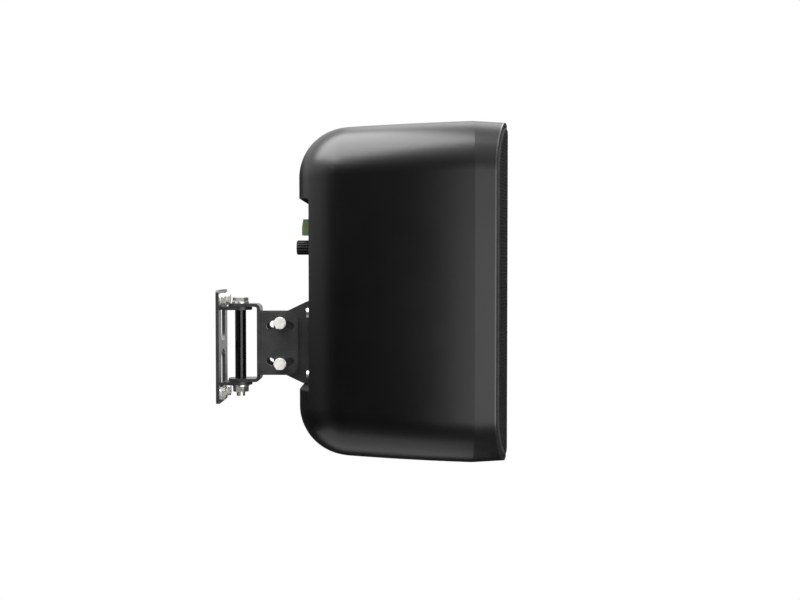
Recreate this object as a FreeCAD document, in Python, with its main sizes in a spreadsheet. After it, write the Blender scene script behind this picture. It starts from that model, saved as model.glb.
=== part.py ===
"""Wall loudspeaker on a pan and tilt bracket, as a parametric document in millimetres.

+X points from the wall to the listener, +Z up. The origin is the middle of the wall plate's back face.
"""

import FreeCAD, Part
import math
import os
import re
import Sketcher

# Driving dimensions: name, value in millimetres or degrees, what it is

SIZES = [
    # Wall plate
    ("plate_thick", 3.0, "sheet of the wall plate"),
    ("plate_width", 54.0, "wall plate across Y"),
    ("plate_height", 106.0, "wall plate along Z"),
    ("plate_corner", 3.0, "corner radius of the wall plate"),
    ("lug_width", 22.0, "pivot lugs across Y"),
    ("lug_face", 37.0, "centre to the outer face of a wall lug"),
    ("lug_kerf", 0.6, "cut on each side of a wall lug"),
    ("window_bridge", 6.0, "metal left between the two lug windows"),
    ("bend_inner", 2.0, "inner bend radius of the sheet parts"),
    ("edge_land", 0.1, "flat left in the middle of a rounded lug end"),
    ("wall_hole", 6.6, "wall hole diameter"),
    ("wall_pitch_y", 36.0, "wall holes across Y"),
    ("wall_pitch_z", 88.0, "wall holes along Z"),
    ("wall_washer", 12.0, "wall washer diameter"),
    ("wall_washer_thick", 1.2, "wall washer thickness"),
    ("wall_nut_flats", 10.0, "wall nut across flats"),
    ("wall_nut_thick", 3.2, "wall nut thickness"),
    # Pan pivot
    ("pivot_reach", 19.6, "wall to the pan axis"),
    ("pivot_bolt", 8.0, "pivot bolt diameter"),
    ("pivot_clearance", 0.05, "pivot bolt to lug hole, on the radius"),
    ("pan_gap", 0.1, "gap between the faces that turn on the pan axis"),
    ("pivot_flats", 13.0, "pivot bolt head and nut across flats"),
    ("pivot_head", 4.0, "pivot bolt head height"),
    ("pivot_nut_thick", 5.2, "pivot nut thickness"),
    ("pivot_tail", 4.0, "bolt end past the nut"),
    ("pivot_washer", 16.0, "pivot washer diameter"),
    ("pivot_washer_thick", 1.6, "pivot washer thickness"),
    ("spacer_outer", 10.5, "pivot spacer tube diameter"),
    # Swivel bracket
    ("swivel_thick", 3.0, "sheet of the swivel bracket"),
    ("web_reach", 36.4, "wall to the back of the swivel web"),
    ("swivel_lug_round", 11.5, "end radius of the swivel lugs"),
    ("ear_spread", 33.0, "outside to outside of the swivel ears"),
    ("ear_length", 39.0, "back of the web to the end of the ears"),
    ("ear_height", 59.2, "swivel ears along Z"),
    ("ear_corner", 9.5, "corner radius of the swivel ears"),
    # Tilt joint
    ("tilt_from_web", 22.3, "back of the web to the tilt axis"),
    ("tilt_rise", 3.0, "tilt axis above the origin"),
    ("tilt_radius", 19.2, "tilt axis to the tilt bolts"),
    ("tilt_slot", 6.6, "width of the curved slots and bolt holes"),
    ("tilt_half_angle", 30.5, "half the angle of a curved slot, in degrees"),
    ("tilt_bolt", 6.0, "tilt bolt diameter"),
    ("tilt_flats", 10.0, "tilt bolt heads and nuts across flats"),
    ("tilt_head", 4.0, "tilt bolt head height"),
    ("tilt_washer", 11.4, "tilt washer diameter"),
    ("tilt_washer_thick", 1.2, "tilt washer thickness"),
    ("tilt_nut_thick", 4.6, "tilt nut thickness"),
    ("tilt_gap", 0.2, "gap between the faces that turn on the tilt axis"),
    # Speaker brackets
    ("arm_thick", 2.5, "sheet of the speaker brackets"),
    ("arm_back", 6.2, "tilt axis to the nose of an arm"),
    ("arm_nose", 24.3, "half height of an arm at its nose"),
    ("arm_nose_corner", 6.0, "corner radius of an arm's nose"),
    ("arm_flare", 24.2, "tilt axis to the end of the flare"),
    ("arm_up", 39.0, "tilt axis to the top of an arm"),
    ("arm_down", 37.5, "tilt axis to the bottom of an arm"),
    ("arm_reach", 30.9, "tilt axis to the recess face of the cabinet"),
    ("flange_spread", 68.0, "outside to outside of the bracket flanges"),
    ("bracket_screw", 5.0, "bracket screw diameter"),
    ("bracket_screw_head", 9.5, "bracket screw head diameter"),
    ("bracket_screw_rise", 2.7, "bracket screw head height"),
    ("bracket_screw_length", 12.0, "bracket screw length under the head"),
    ("bracket_pitch_y", 51.0, "bracket screws across Y"),
    ("bracket_pitch_z", 58.0, "bracket screws along Z"),
    ("bracket_hole", 5.5, "bracket screw hole in the flange"),
    ("insert_outer", 7.0, "threaded insert diameter"),
    ("insert_length", 11.0, "threaded insert length"),
    ("insert_boss", 12.0, "boss round a threaded insert"),
    # Cabinet
    ("channel_depth", 10.6, "recess across the cabinet's back"),
    ("channel_up", 133.5, "tilt axis to the top of the recess"),
    ("channel_down", 39.0, "tilt axis to the bottom of the recess"),
    ("channel_round", 3.0, "radius of the recess's upper inner corner"),
    ("channel_foot_round", 1.2, "radius of the recess's lower inner corner"),
    ("channel_lip", 2.0, "radius of the recess's outer edges"),
    ("cabinet_depth", 157.0, "cabinet's back to the seam"),
    ("cabinet_width", 200.0, "cabinet across Y at the seam"),
    ("cabinet_height", 307.6, "cabinet along Z at the seam"),
    ("cabinet_rise", 49.1, "tilt axis to the cabinet's middle"),
    ("cabinet_draft", 2.0, "draft of the rear moulding, in degrees"),
    ("cabinet_round", 46.0, "corner radius of the mouldings"),
    ("cabinet_bow", 500.0, "radius of the rear moulding's sides, seen from above"),
    ("cabinet_back_round", 52.0, "radius of the rear moulding's back corners, seen from above"),
    ("cabinet_wall", 4.0, "wall of the rear moulding"),
    ("joint_clearance", 0.1, "general clearance between seated pieces"),
    ("tongue_length", 6.0, "tongue of the front moulding"),
    ("tongue_thick", 3.0, "wall of the tongue"),
    ("gasket_width", 2.0, "cabinet gasket across"),
    ("gasket_thick", 1.5, "cabinet gasket along X"),
    # Front moulding and grille
    ("bezel_draft", 2.9, "draft of the front moulding, in degrees"),
    ("bezel_wall", 4.0, "wall of the bezel"),
    ("baffle_thick", 7.0, "seam to the baffle's face"),
    ("crown_reach", 36.0, "seam to the crown of the grille"),
    ("crown_radius", 308.0, "radius of the grille's curve"),
    ("grille_proud", 1.0, "grille past the bezel's edge"),
    ("grille_thick", 1.2, "grille sheet"),
    ("grille_gap", 1.0, "groove between the bezel and the grille"),
    ("grille_return", 9.0, "folded edge of the grille"),
    ("grille_edge", 5.0, "plain edge round the grille's openings"),
    ("mesh_pitch", 24.0, "openings of the grille across Y"),
    ("mesh_row", 21.0, "rows of grille openings along Z"),
    ("mesh_opening", 15.0, "width of a grille opening"),
    ("baffle_screw", 3.5, "baffle screw diameter"),
    ("baffle_screw_head", 7.0, "baffle screw head diameter"),
    ("baffle_screw_rise", 2.4, "baffle screw head height"),
    ("baffle_screw_length", 22.0, "baffle screw length under the head"),
    ("baffle_boss", 10.0, "screw post diameter in the cabinet"),
    ("baffle_boss_length", 30.0, "screw post length in the cabinet"),
    ("rib_thick", 3.0, "ribs that tie the screw posts to the wall"),
    ("corner_screw_in_y", 24.0, "cabinet's side to the corner screws"),
    ("corner_screw_in_z", 23.8, "cabinet's top or bottom to the corner screws"),
    ("side_screw_in", 12.0, "cabinet's side to the side screws"),
    # Reflex ports
    ("port_bore", 32.0, "port tube bore"),
    ("port_wall", 2.0, "port tube wall"),
    ("port_length", 60.0, "port tube behind the baffle's face"),
    ("port_lip", 43.0, "port lip diameter"),
    ("port_lip_thick", 1.6, "port lip thickness"),
    ("port_flare", 4.0, "radius of the port's mouth"),
    ("port_in", 28.0, "cabinet's side to the port axes"),
    ("port_rise", 28.0, "ports above the cabinet's middle"),
    # Woofer
    ("woofer_in", 89.0, "cabinet's bottom to the woofer's axis"),
    ("woofer_flange", 79.0, "woofer frame radius"),
    ("woofer_flange_thick", 3.0, "woofer frame flange"),
    ("woofer_hole", 69.0, "woofer opening radius in the baffle"),
    ("woofer_seat", 64.0, "inner radius of the woofer flange"),
    ("basket_depth", 44.0, "baffle's face to the back of the frame"),
    ("basket_base", 49.0, "back radius of the frame"),
    ("basket_bore", 22.0, "bore in the back of the frame"),
    ("basket_wall", 2.5, "back wall of the frame"),
    ("basket_window", 34.0, "window width in the frame"),
    ("spider_depth", 32.0, "baffle's face to the spider's seat"),
    ("spider_radius", 47.0, "spider radius"),
    ("spider_ledge", 7.0, "seat under the spider's rim"),
    ("spider_thick", 0.8, "spider cloth"),
    ("spider_wave", 1.6, "height of the spider's waves"),
    ("cone_radius", 52.0, "cone edge radius"),
    ("cone_edge", 3.4, "cone edge ahead of the baffle's face"),
    ("cone_depth", 27.4, "depth of the cone"),
    ("cone_thick", 1.2, "cone along the axis"),
    ("cone_gap", 0.4, "cone to the pieces it moves past"),
    ("roll_radius", 5.0, "outer radius of the surround's roll"),
    ("roll_thick", 0.8, "surround rubber"),
    ("roll_lip", 7.0, "surround's glued rim"),
    ("gasket_ring", 6.0, "width of the woofer's front gasket"),
    ("gasket_ring_thick", 2.6, "woofer's front gasket along X"),
    ("cap_radius", 24.0, "dust cap radius"),
    ("cap_rise", 7.5, "dust cap height"),
    ("cap_thick", 0.8, "dust cap wall"),
    ("coil_radius", 19.0, "voice coil bore radius"),
    ("coil_former", 0.6, "voice coil former"),
    ("coil_winding", 0.9, "voice coil winding"),
    ("coil_length", 30.0, "voice coil former length"),
    ("coil_winding_length", 10.0, "voice coil winding length"),
    ("pole_gap", 0.8, "air gap on each side of the voice coil"),
    ("top_plate_thick", 5.0, "woofer front plate"),
    ("magnet_radius", 45.0, "woofer magnet radius"),
    ("magnet_bore", 25.0, "woofer magnet bore radius"),
    ("magnet_thick", 15.0, "woofer magnet"),
    ("yoke_thick", 6.0, "woofer back plate"),
    ("driver_screw", 4.0, "driver screw diameter"),
    ("driver_screw_head", 7.4, "driver screw head diameter"),
    ("driver_screw_rise", 2.6, "driver screw head height"),
    ("driver_screw_length", 9.0, "driver screw length under the head"),
    ("woofer_screw_circle", 74.5, "woofer screws from its axis"),
    # Tweeter
    ("tweeter_in", 60.0, "cabinet's top to the tweeter's axis"),
    ("guide_radius", 46.0, "waveguide flange radius"),
    ("guide_flange", 3.0, "waveguide flange"),
    ("guide_mouth", 38.0, "waveguide mouth radius"),
    ("guide_throat", 14.0, "waveguide throat radius"),
    ("guide_depth", 16.0, "baffle's face to the back of the waveguide"),
    ("guide_curve", 60.0, "radius of the waveguide's curve"),
    ("guide_foot", 27.0, "radius of the waveguide's back"),
    ("guide_shoulder", 9.0, "waveguide's back to its shoulder"),
    ("tweeter_hole", 39.5, "tweeter opening radius in the baffle"),
    ("dome_radius", 13.0, "dome radius"),
    ("dome_rise", 6.0, "dome height"),
    ("dome_thick", 0.6, "dome wall"),
    ("tweeter_plate_thick", 4.0, "tweeter front plate"),
    ("tweeter_plate_bore", 12.6, "bore radius of the tweeter front plate"),
    ("tweeter_magnet_bore", 15.0, "tweeter magnet bore radius"),
    ("tweeter_magnet_radius", 25.0, "tweeter magnet radius"),
    ("tweeter_magnet_thick", 8.0, "tweeter magnet"),
    ("tweeter_cup_thick", 5.0, "tweeter back plate"),
    ("tweeter_pole", 11.8, "tweeter pole radius"),
    ("tweeter_screw_circle", 42.4, "tweeter screws from its axis"),
    # Rear connections
    ("panel_width", 46.0, "input panel across Y"),
    ("panel_height", 54.0, "input panel along Z"),
    ("panel_thick", 2.0, "input panel"),
    ("panel_ledge", 5.0, "ledge under the input panel"),
    ("panel_rise", 99.5, "tilt axis to the input panel's middle"),
    ("panel_screw", 3.0, "input panel screw diameter"),
    ("panel_screw_head", 4.6, "input panel screw head diameter"),
    ("panel_screw_rise", 1.2, "input panel screw head, sunk in the panel"),
    ("panel_screw_length", 4.0, "input panel screw length under the head"),
    ("panel_screw_inset", 2.5, "input panel screws from its edges"),
    ("plug_rise", 109.0, "tilt axis to the terminal plug"),
    ("plug_pitch", 5.08, "terminal pitch"),
    ("plug_poles", 4, "number of terminals"),
    ("plug_height", 15.0, "terminal plug along Z"),
    ("plug_out", 10.5, "terminal plug behind the recess face"),
    ("plug_in", 9.0, "terminal plug inside the recess face"),
    ("plug_bevel", 1.2, "lean of the plug's back, along X"),
    ("plug_bevel_drop", 7.0, "lean of the plug's back, along Z"),
    ("plug_clearance", 0.35, "terminal plug to its socket"),
    ("plug_entry", 3.0, "wire entry of the plug"),
    ("plug_entry_depth", 7.0, "depth of a wire entry"),
    ("plug_screw", 3.2, "terminal screw diameter"),
    ("plug_screw_length", 3.0, "terminal screw"),
    ("plug_screw_sink", 0.6, "terminal screw below the plug's top"),
    ("plug_screw_reach", 4.5, "terminal screws from the recess face"),
    ("plug_entry_drop", 2.0, "wire entries below the plug's middle"),
    ("pin_size", 1.0, "terminal pin thickness"),
    ("pin_hole", 1.8, "pin hole in the plug"),
    ("pin_length", 7.0, "terminal pin inside the plug"),
    ("header_wall", 2.0, "wall of the terminal header"),
    ("header_depth", 4.0, "back of the terminal header"),
    ("knob_rise", 90.0, "tilt axis to the tap knob"),
    ("knob_size", 13.7, "tap knob diameter"),
    ("knob_length", 15.6, "tap knob length"),
    ("knob_edge", 1.5, "radius of the knob's end"),
    ("knob_gap", 0.6, "tap knob to the input panel"),
    ("knob_flutes", 16, "number of flutes on the knob"),
    ("knob_flute", 1.0, "flute radius"),
    ("knob_bore_depth", 11.6, "depth of the knob's bore"),
    ("knob_pointer", 1.2, "width of the knob's pointer groove"),
    ("knob_pointer_depth", 0.6, "depth of the knob's pointer groove"),
    ("shaft_size", 6.0, "tap switch shaft diameter"),
    ("shaft_clearance", 0.05, "shaft to the knob's bore, on the radius"),
    ("switch_size", 18.0, "tap switch body along Y and Z"),
    ("switch_depth", 12.0, "tap switch body along X"),
    # Line transformer
    ("core_width", 48.0, "transformer core across Y"),
    ("core_height", 38.0, "transformer core along Z"),
    ("core_depth", 20.0, "transformer core along X"),
    ("core_leg", 16.0, "middle leg of the core"),
    ("core_window", 8.0, "window of the core across Y"),
    ("core_window_height", 22.0, "window of the core along Z"),
    ("coil_overhang", 8.0, "winding past the core"),
    ("strap_thick", 1.2, "transformer bracket sheet"),
    ("strap_foot", 12.0, "foot of a transformer bracket"),
    ("strap_width", 16.0, "transformer bracket along Z"),
    ("foot_screw_length", 4.0, "transformer bracket screw length under the head"),
    # Crossover
    ("board_width", 84.0, "crossover board across Y"),
    ("board_height", 34.0, "crossover board along Z"),
    ("board_thick", 1.6, "crossover board"),
    ("board_rise", 56.0, "tilt axis to the crossover board's middle"),
    ("board_stand", 8.0, "crossover board off the wall"),
    ("board_post", 7.0, "board post diameter"),
    ("board_inset", 4.0, "board screws from its edges"),
    ("small_screw", 3.0, "small screw diameter"),
    ("small_screw_head", 5.6, "small screw head diameter"),
    ("small_screw_rise", 2.0, "small screw head height"),
    ("small_screw_length", 5.0, "small screw length under the head"),
    ("inductor_radius", 10.0, "inductor radius"),
    ("inductor_height", 14.0, "inductor height"),
    ("inductor_bore", 4.0, "inductor bore radius"),
    ("inductor_flange", 1.2, "inductor flange thickness and rim"),
    ("inductor_offset", 30.0, "inductors from the board's middle"),
    ("capacitor_radius", 4.5, "capacitor radius"),
    ("capacitor_length", 24.0, "capacitor length"),
    ("capacitor_first", -14.0, "first capacitor from the board's middle"),
    ("capacitor_pitch", 10.0, "spacing of the capacitors"),
    ("resistor_size", 7.0, "resistor section"),
    ("resistor_length", 22.0, "resistor length"),
    ("resistor_first", 4.5, "first resistor from the board's middle"),
    ("resistor_pitch", 8.5, "spacing of the resistors"),
]

ALIASES = {alias for alias, value, note in SIZES}

doc = FreeCAD.newDocument("installation_speaker")
sheet = doc.addObject("Spreadsheet::Sheet", "Sizes")
for row, (alias, value, note) in enumerate(SIZES, start=1):
    sheet.set(f"A{row}", note)
    sheet.set(f"B{row}", str(value))
    sheet.setAlias(f"B{row}", alias)
doc.recompute()

# Places along X and Z that several pieces share, as formulas of the sizes

TILT_X = "(web_reach + tilt_from_web)"
RECESS_X = "(web_reach + tilt_from_web + arm_reach)"
BACK_X = f"({RECESS_X} - channel_depth)"
SEAM_X = f"({BACK_X} + cabinet_depth)"
BAFFLE_X = f"({SEAM_X} + baffle_thick)"
CROWN_X = f"({SEAM_X} + crown_reach)"
INNER_X = f"({RECESS_X} + cabinet_wall)"
CABINET_Z = "(tilt_rise + cabinet_rise)"
WOOFER_Z = f"({CABINET_Z} - cabinet_height / 2 + woofer_in)"
TWEETER_Z = f"({CABINET_Z} + cabinet_height / 2 - tweeter_in)"
PANEL_Z = "(tilt_rise + panel_rise)"
PLUG_Z = "(tilt_rise + plug_rise)"
KNOB_Z = "(tilt_rise + knob_rise)"
BOARD_Z = "(tilt_rise + board_rise)"

UPRIGHT = FreeCAD.Rotation()
TO_X = FreeCAD.Rotation(FreeCAD.Vector(0, 1, 0), 90)
TO_BACK = FreeCAD.Rotation(FreeCAD.Vector(0, 1, 0), -90)
TO_Y = FreeCAD.Rotation(FreeCAD.Vector(1, 0, 0), -90)
TO_NEAR = FreeCAD.Rotation(FreeCAD.Vector(1, 0, 0), 90)
FORWARD = FreeCAD.Rotation(FreeCAD.Vector(0, 0, 1), -90)


# Formulas, properties and places


def rule(text):
    """A formula of sizes, written as the document's expressions want it."""
    return re.sub(r"[a-z_]\w*", lambda word: f"Sizes.{word[0]}" if word[0] in ALIASES else word[0], str(text))


def value(text):
    """The number that a formula of sizes gives now."""
    return float(sheet.evalExpression(rule(text)))


def bind(item, **rules):
    for name, text in rules.items():
        item.setExpression(name, rule(text))


def place(item, at, turn=UPRIGHT):
    item.Placement = FreeCAD.Placement(FreeCAD.Vector(*[value(text) for text in at]), turn)
    for name, text in zip("xyz", at):
        item.setExpression(f".Placement.Base.{name}", rule(text))
    return item


# Part primitives and booleans


def block(name, size, at, turn=UPRIGHT):
    """A box from its lowest corner."""
    item = doc.addObject("Part::Box", name)
    bind(item, Length=size[0], Width=size[1], Height=size[2])
    return place(item, at, turn)


def rod(name, radius, length, at, turn=UPRIGHT):
    item = doc.addObject("Part::Cylinder", name)
    bind(item, Radius=radius, Height=length)
    return place(item, at, turn)


def hexagon(name, flats, length, at, turn=UPRIGHT):
    item = doc.addObject("Part::Prism", name)
    item.Polygon = 6
    bind(item, Circumradius=f"({flats}) / sqrt(3)", Height=length)
    return place(item, at, turn)


def fuse(name, pieces):
    item = doc.addObject("Part::MultiFuse", name)
    item.Shapes = pieces
    return item


def cut(name, base, tools):
    item = doc.addObject("Part::Cut", name)
    item.Base = base
    item.Tool = tools[0] if len(tools) == 1 else fuse(name + "_tools", tools)
    return item


def common(name, first, second):
    item = doc.addObject("Part::Common", name)
    item.Base = first
    item.Tool = second
    return item


def group(name, pieces):
    """Like pieces that share a node, each still its own solid."""
    item = doc.addObject("Part::Compound", name)
    item.Links = pieces
    return item


def ring(name, outer, inner, length, at, turn=UPRIGHT):
    solid = rod(name + "_blank", outer, length, at, turn)
    return cut(name, solid, [rod(name + "_bore", inner, length, at, turn)])


def dome(name, radius, rise, thick, seat):
    """A shell between two spheres, standing on its seat and bulging along X."""
    bulge = f"(({radius} ^ 2 + {rise} ^ 2) / (2 * {rise}))"
    middle = (f"{seat[0]} + {rise} - {bulge}", seat[1], seat[2])
    balls = []
    for word, size in (("outer", bulge), ("inner", f"{bulge} - {thick}")):
        ball = doc.addObject("Part::Sphere", f"{name}_{word}")
        bind(ball, Radius=size)
        balls.append(place(ball, middle, TO_X))
    above = rod(f"{name}_above", f"2 * {radius}", f"2 * {rise}", seat, TO_X)
    return cut(name, common(f"{name}_cap", balls[0], above), [balls[1]])


def screw(name, head, rise, shank, length, at, turn):
    """A round-headed screw. The seat under its head is at the given place, and it points along its own Z."""
    stem = rod(name + "_stem", f"{shank} / 2", length, at, turn)
    cap = doc.addObject("Part::Cylinder", name + "_cap")
    bind(cap, Radius=f"{head} / 2", Height=rise)
    outward = turn.multVec(FreeCAD.Vector(0, 0, -1))
    seat = [f"{text} + ({rise}) * {round(step)}" for text, step in zip(at, outward)]
    place(cap, seat, turn)
    return fuse(name, [cap, stem])


# Bodies with sketches


def origin_plane(body, role):
    """One of a body's own planes or axes."""
    return next(item for item in body.Origin.OriginFeatures if item.Role == role)


def sketch_on(body, role, name):
    sketch = body.newObject("Sketcher::SketchObject", name)
    sketch.AttachmentSupport = [(origin_plane(body, role), "")]
    sketch.MapMode = "FlatFace"
    return sketch


def hold(sketch, geometry, point, across, up):
    """Ties a point of a sketch to its two formulas."""
    for kind, axis, text in (("DistanceX", -2, across), ("DistanceY", -1, up)):
        if text == "0":
            sketch.addConstraint(Sketcher.Constraint("PointOnObject", geometry, point, axis))
        else:
            index = sketch.addConstraint(Sketcher.Constraint(kind, -1, 1, geometry, point, value(text)))
            sketch.setExpression(f"Constraints[{index}]", rule(text))


def arc_between(start, end, radius, side):
    """An arc from start to end, bulging to the left (side 1) or right (side -1) of the way there."""
    chord = end - start
    middle = (start + end) * 0.5
    normal = FreeCAD.Vector(-chord.y, chord.x, 0).normalize()
    reach = math.sqrt(radius**2 - (chord.Length / 2) ** 2)
    centre = middle - normal * (side * reach)
    first, last = (end, start) if side > 0 else (start, end)
    angles = [math.atan2(point.y - centre.y, point.x - centre.x) for point in (first, last)]
    return Part.ArcOfCircle(Part.Circle(centre, FreeCAD.Vector(0, 0, 1), radius), *angles)


def draw(sketch, outline):
    """A closed outline of (across, up) corners. A corner with a radius and a side is reached by an arc."""
    corners = [FreeCAD.Vector(value(corner[0]), value(corner[1]), 0) for corner in outline]
    first = sketch.GeometryCount
    for index, corner in enumerate(outline):
        start = corners[index - 1]
        end = corners[index]
        if len(corner) == 4:
            sketch.addGeometry(arc_between(start, end, value(corner[2]), corner[3]))
        else:
            sketch.addGeometry(Part.LineSegment(start, end))
    ends = []
    for index in range(len(outline)):
        edge = sketch.Geometry[first + index]
        ends.append(2 if (edge.EndPoint - corners[index]).Length < 1e-6 else 1)
    for index, corner in enumerate(outline):
        following = (index + 1) % len(outline)
        joint = Sketcher.Constraint(
            "Coincident", first + index, ends[index], first + following, 3 - ends[following]
        )
        sketch.addConstraint(joint)
        hold(sketch, first + index, ends[index], corner[0], corner[1])
        if len(corner) == 4:
            bulge = sketch.addConstraint(Sketcher.Constraint("Radius", first + index, value(corner[2])))
            sketch.setExpression(f"Constraints[{bulge}]", rule(corner[2]))


def new_body(name, at, turn=UPRIGHT):
    return place(doc.addObject("PartDesign::Body", name), at, turn)


def turned(name, outline, at, turn=TO_X):
    """A body of revolution: its outline is radius and height along its own axis."""
    body = new_body(name, at, turn)
    sketch = sketch_on(body, "XZ_Plane", name + "_profile")
    draw(sketch, outline)
    feature = body.newObject("PartDesign::Revolution", name + "_turn")
    feature.Profile = sketch
    feature.ReferenceAxis = (sketch, ["V_Axis"])
    feature.Angle = 360
    return body


def padded(body, name, role, outline, length):
    """An outline on one of a body's planes, thickened evenly to both sides."""
    sketch = sketch_on(body, role, name + "_outline")
    draw(sketch, outline)
    pad = body.newObject("PartDesign::Pad", name)
    pad.Profile = sketch
    pad.Midplane = True
    bind(pad, Length=length)
    return pad


def pocketed(body, name, role, outline, length):
    """An outline on one of a body's planes, cut out evenly to both sides."""
    sketch = sketch_on(body, role, name + "_outline")
    draw(sketch, outline)
    pocket = body.newObject("PartDesign::Pocket", name)
    pocket.Profile = sketch
    pocket.Midplane = True
    bind(pocket, Length=length)
    return pocket


def add_wedge(body, name, width, height, length, taper, turn):
    """A block that narrows along its own Y, turned to lie along X."""
    item = body.newObject("PartDesign::AdditiveWedge", name)
    half_width = f"({width}) / 2"
    half_height = f"({height}) / 2"
    slope = f"({length}) * tan({taper})"
    bind(item, Xmin=f"-{half_width}", Xmax=half_width, Ymin="0", Ymax=length, Zmin=f"-{half_height}", Zmax=half_height)
    bind(item, X2min=f"{slope} - {half_width}", X2max=f"{half_width} - {slope}")
    bind(item, Z2min=f"{slope} - {half_height}", Z2max=f"{half_height} - {slope}")
    return place(item, ("0", "0", "0"), turn)


def add_block(body, name, size, at):
    item = body.newObject("PartDesign::AdditiveBox", name)
    bind(item, Length=size[0], Width=size[1], Height=size[2])
    return place(item, at)


def cut_block(body, name, size, at):
    item = body.newObject("PartDesign::SubtractiveBox", name)
    bind(item, Length=size[0], Width=size[1], Height=size[2])
    return place(item, at)


def cut_rod(body, name, radius, length, at, turn):
    item = body.newObject("PartDesign::SubtractiveCylinder", name)
    bind(item, Radius=radius, Height=length)
    return place(item, at, turn)


def straight_along(edge, axis):
    """True for a straight edge along an axis, given as 0, 1 or 2 for X, Y or Z."""
    way = edge.Vertexes[-1].Point - edge.Vertexes[0].Point
    return way.Length > 0.999 * edge.Length and abs(way[axis]) > 0.9 * way.Length


def near(number, *texts):
    return any(abs(number - value(text)) < 0.01 for text in texts)


def rounded(body, name, radius, chosen):
    """Rounds the edges of a body's latest shape that the test chooses."""
    doc.recompute()
    base = body.Tip
    edges = [f"Edge{number}" for number, edge in enumerate(base.Shape.Edges, 1) if chosen(edge)]
    fillet = body.newObject("PartDesign::Fillet", name)
    fillet.Base = (base, edges)
    bind(fillet, Radius=radius)
    return fillet


def four_places(across, up):
    """The four sign pairs of a rectangle of holes, as formulas."""
    return [(f"{y} * ({across}) / 2", f"{z} * ({up}) / 2") for y in (-1, 1) for z in (-1, 1)]


# Wall plate, its nuts and the pan pivot

SWIVEL_LOW = "(plate_thick - lug_face + pan_gap)"
SWIVEL_HIGH = "(lug_face + pan_gap)"
PIVOT_TOP = "(lug_face + 2 * pan_gap + swivel_thick)"
PIVOT_FOOT = "(lug_face + pivot_washer_thick)"
PIVOT_HOLE = "pivot_bolt / 2 + pivot_clearance"


def wall_plate():
    """A flat plate whose two lugs are cut from its own sheet and bent out, leaving a window behind each."""
    body = new_body("wall_plate", ("0", "0", "0"))
    sheet_size = ("plate_thick", "plate_width", "plate_height")
    add_block(body, "plate_sheet", sheet_size, ("0", "-plate_width / 2", "-plate_height / 2"))
    rounded(body, "plate_corners", "plate_corner", lambda edge: straight_along(edge, 0))
    relief = "(lug_face + bend_inner + lug_kerf)"
    window = ("plate_thick", "lug_width + 2 * lug_kerf", f"{relief} - window_bridge / 2")
    for word, low in (("upper", "window_bridge / 2"), ("lower", f"-{relief}")):
        cut_block(body, f"{word}_window", window, ("0", "-lug_width / 2 - lug_kerf", low))
    rounded(
        body,
        "window_ends",
        "lug_width / 2",
        lambda edge: straight_along(edge, 0) and near(abs(edge.CenterOfMass.z), "window_bridge / 2"),
    )
    lug = ("pivot_reach + lug_width / 2", "lug_width", "plate_thick")
    root = ("plate_thick", "lug_width", f"{relief} - lug_face + plate_thick")
    for word, lug_low, root_low in (
        ("upper", "lug_face - plate_thick", "lug_face - plate_thick"),
        ("lower", "-lug_face", f"-{relief}"),
    ):
        add_block(body, f"{word}_root", root, ("0", "-lug_width / 2", root_low))
        add_block(body, f"{word}_lug", lug, ("0", "-lug_width / 2", lug_low))
    rounded(
        body,
        "lug_ends",
        "lug_width / 2 - edge_land",
        lambda edge: straight_along(edge, 2) and near(edge.CenterOfMass.x, "pivot_reach + lug_width / 2"),
    )
    rounded(
        body,
        "lug_bends_inside",
        "bend_inner",
        lambda edge: straight_along(edge, 1)
        and near(edge.CenterOfMass.x, "plate_thick")
        and near(abs(edge.CenterOfMass.z), "lug_face"),
    )
    rounded(
        body,
        "lug_bends_outside",
        "bend_inner + plate_thick",
        lambda edge: straight_along(edge, 1)
        and near(edge.CenterOfMass.x, "0")
        and near(abs(edge.CenterOfMass.z), "lug_face - plate_thick"),
    )
    span = "2 * lug_face + 2 * plate_thick"
    cut_rod(body, "pivot_hole", PIVOT_HOLE, span, ("pivot_reach", "0", "-lug_face - plate_thick"), UPRIGHT)
    for number, (y, z) in enumerate(four_places("wall_pitch_y", "wall_pitch_z")):
        cut_rod(body, f"wall_hole_{number}", "wall_hole / 2", "plate_thick", ("0", y, z), TO_X)
    return body


def wall_nuts():
    """Washers and thin nuts over the four wall holes."""
    washers = []
    nuts = []
    for number, (y, z) in enumerate(four_places("wall_pitch_y", "wall_pitch_z")):
        seat = ("plate_thick", y, z)
        top = ("plate_thick + wall_washer_thick", y, z)
        washer = ring(f"wall_washer_{number}", "wall_washer / 2", "wall_hole / 2", "wall_washer_thick", seat, TO_X)
        washers.append(washer)
        blank = hexagon(f"wall_nut_{number}_blank", "wall_nut_flats", "wall_nut_thick", top, TO_X)
        bore = rod(f"wall_nut_{number}_bore", "wall_hole / 2", "wall_nut_thick", top, TO_X)
        nuts.append(cut(f"wall_nut_{number}", blank, [bore]))
    return [group("wall_washers", washers), group("wall_nuts", nuts)]


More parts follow.
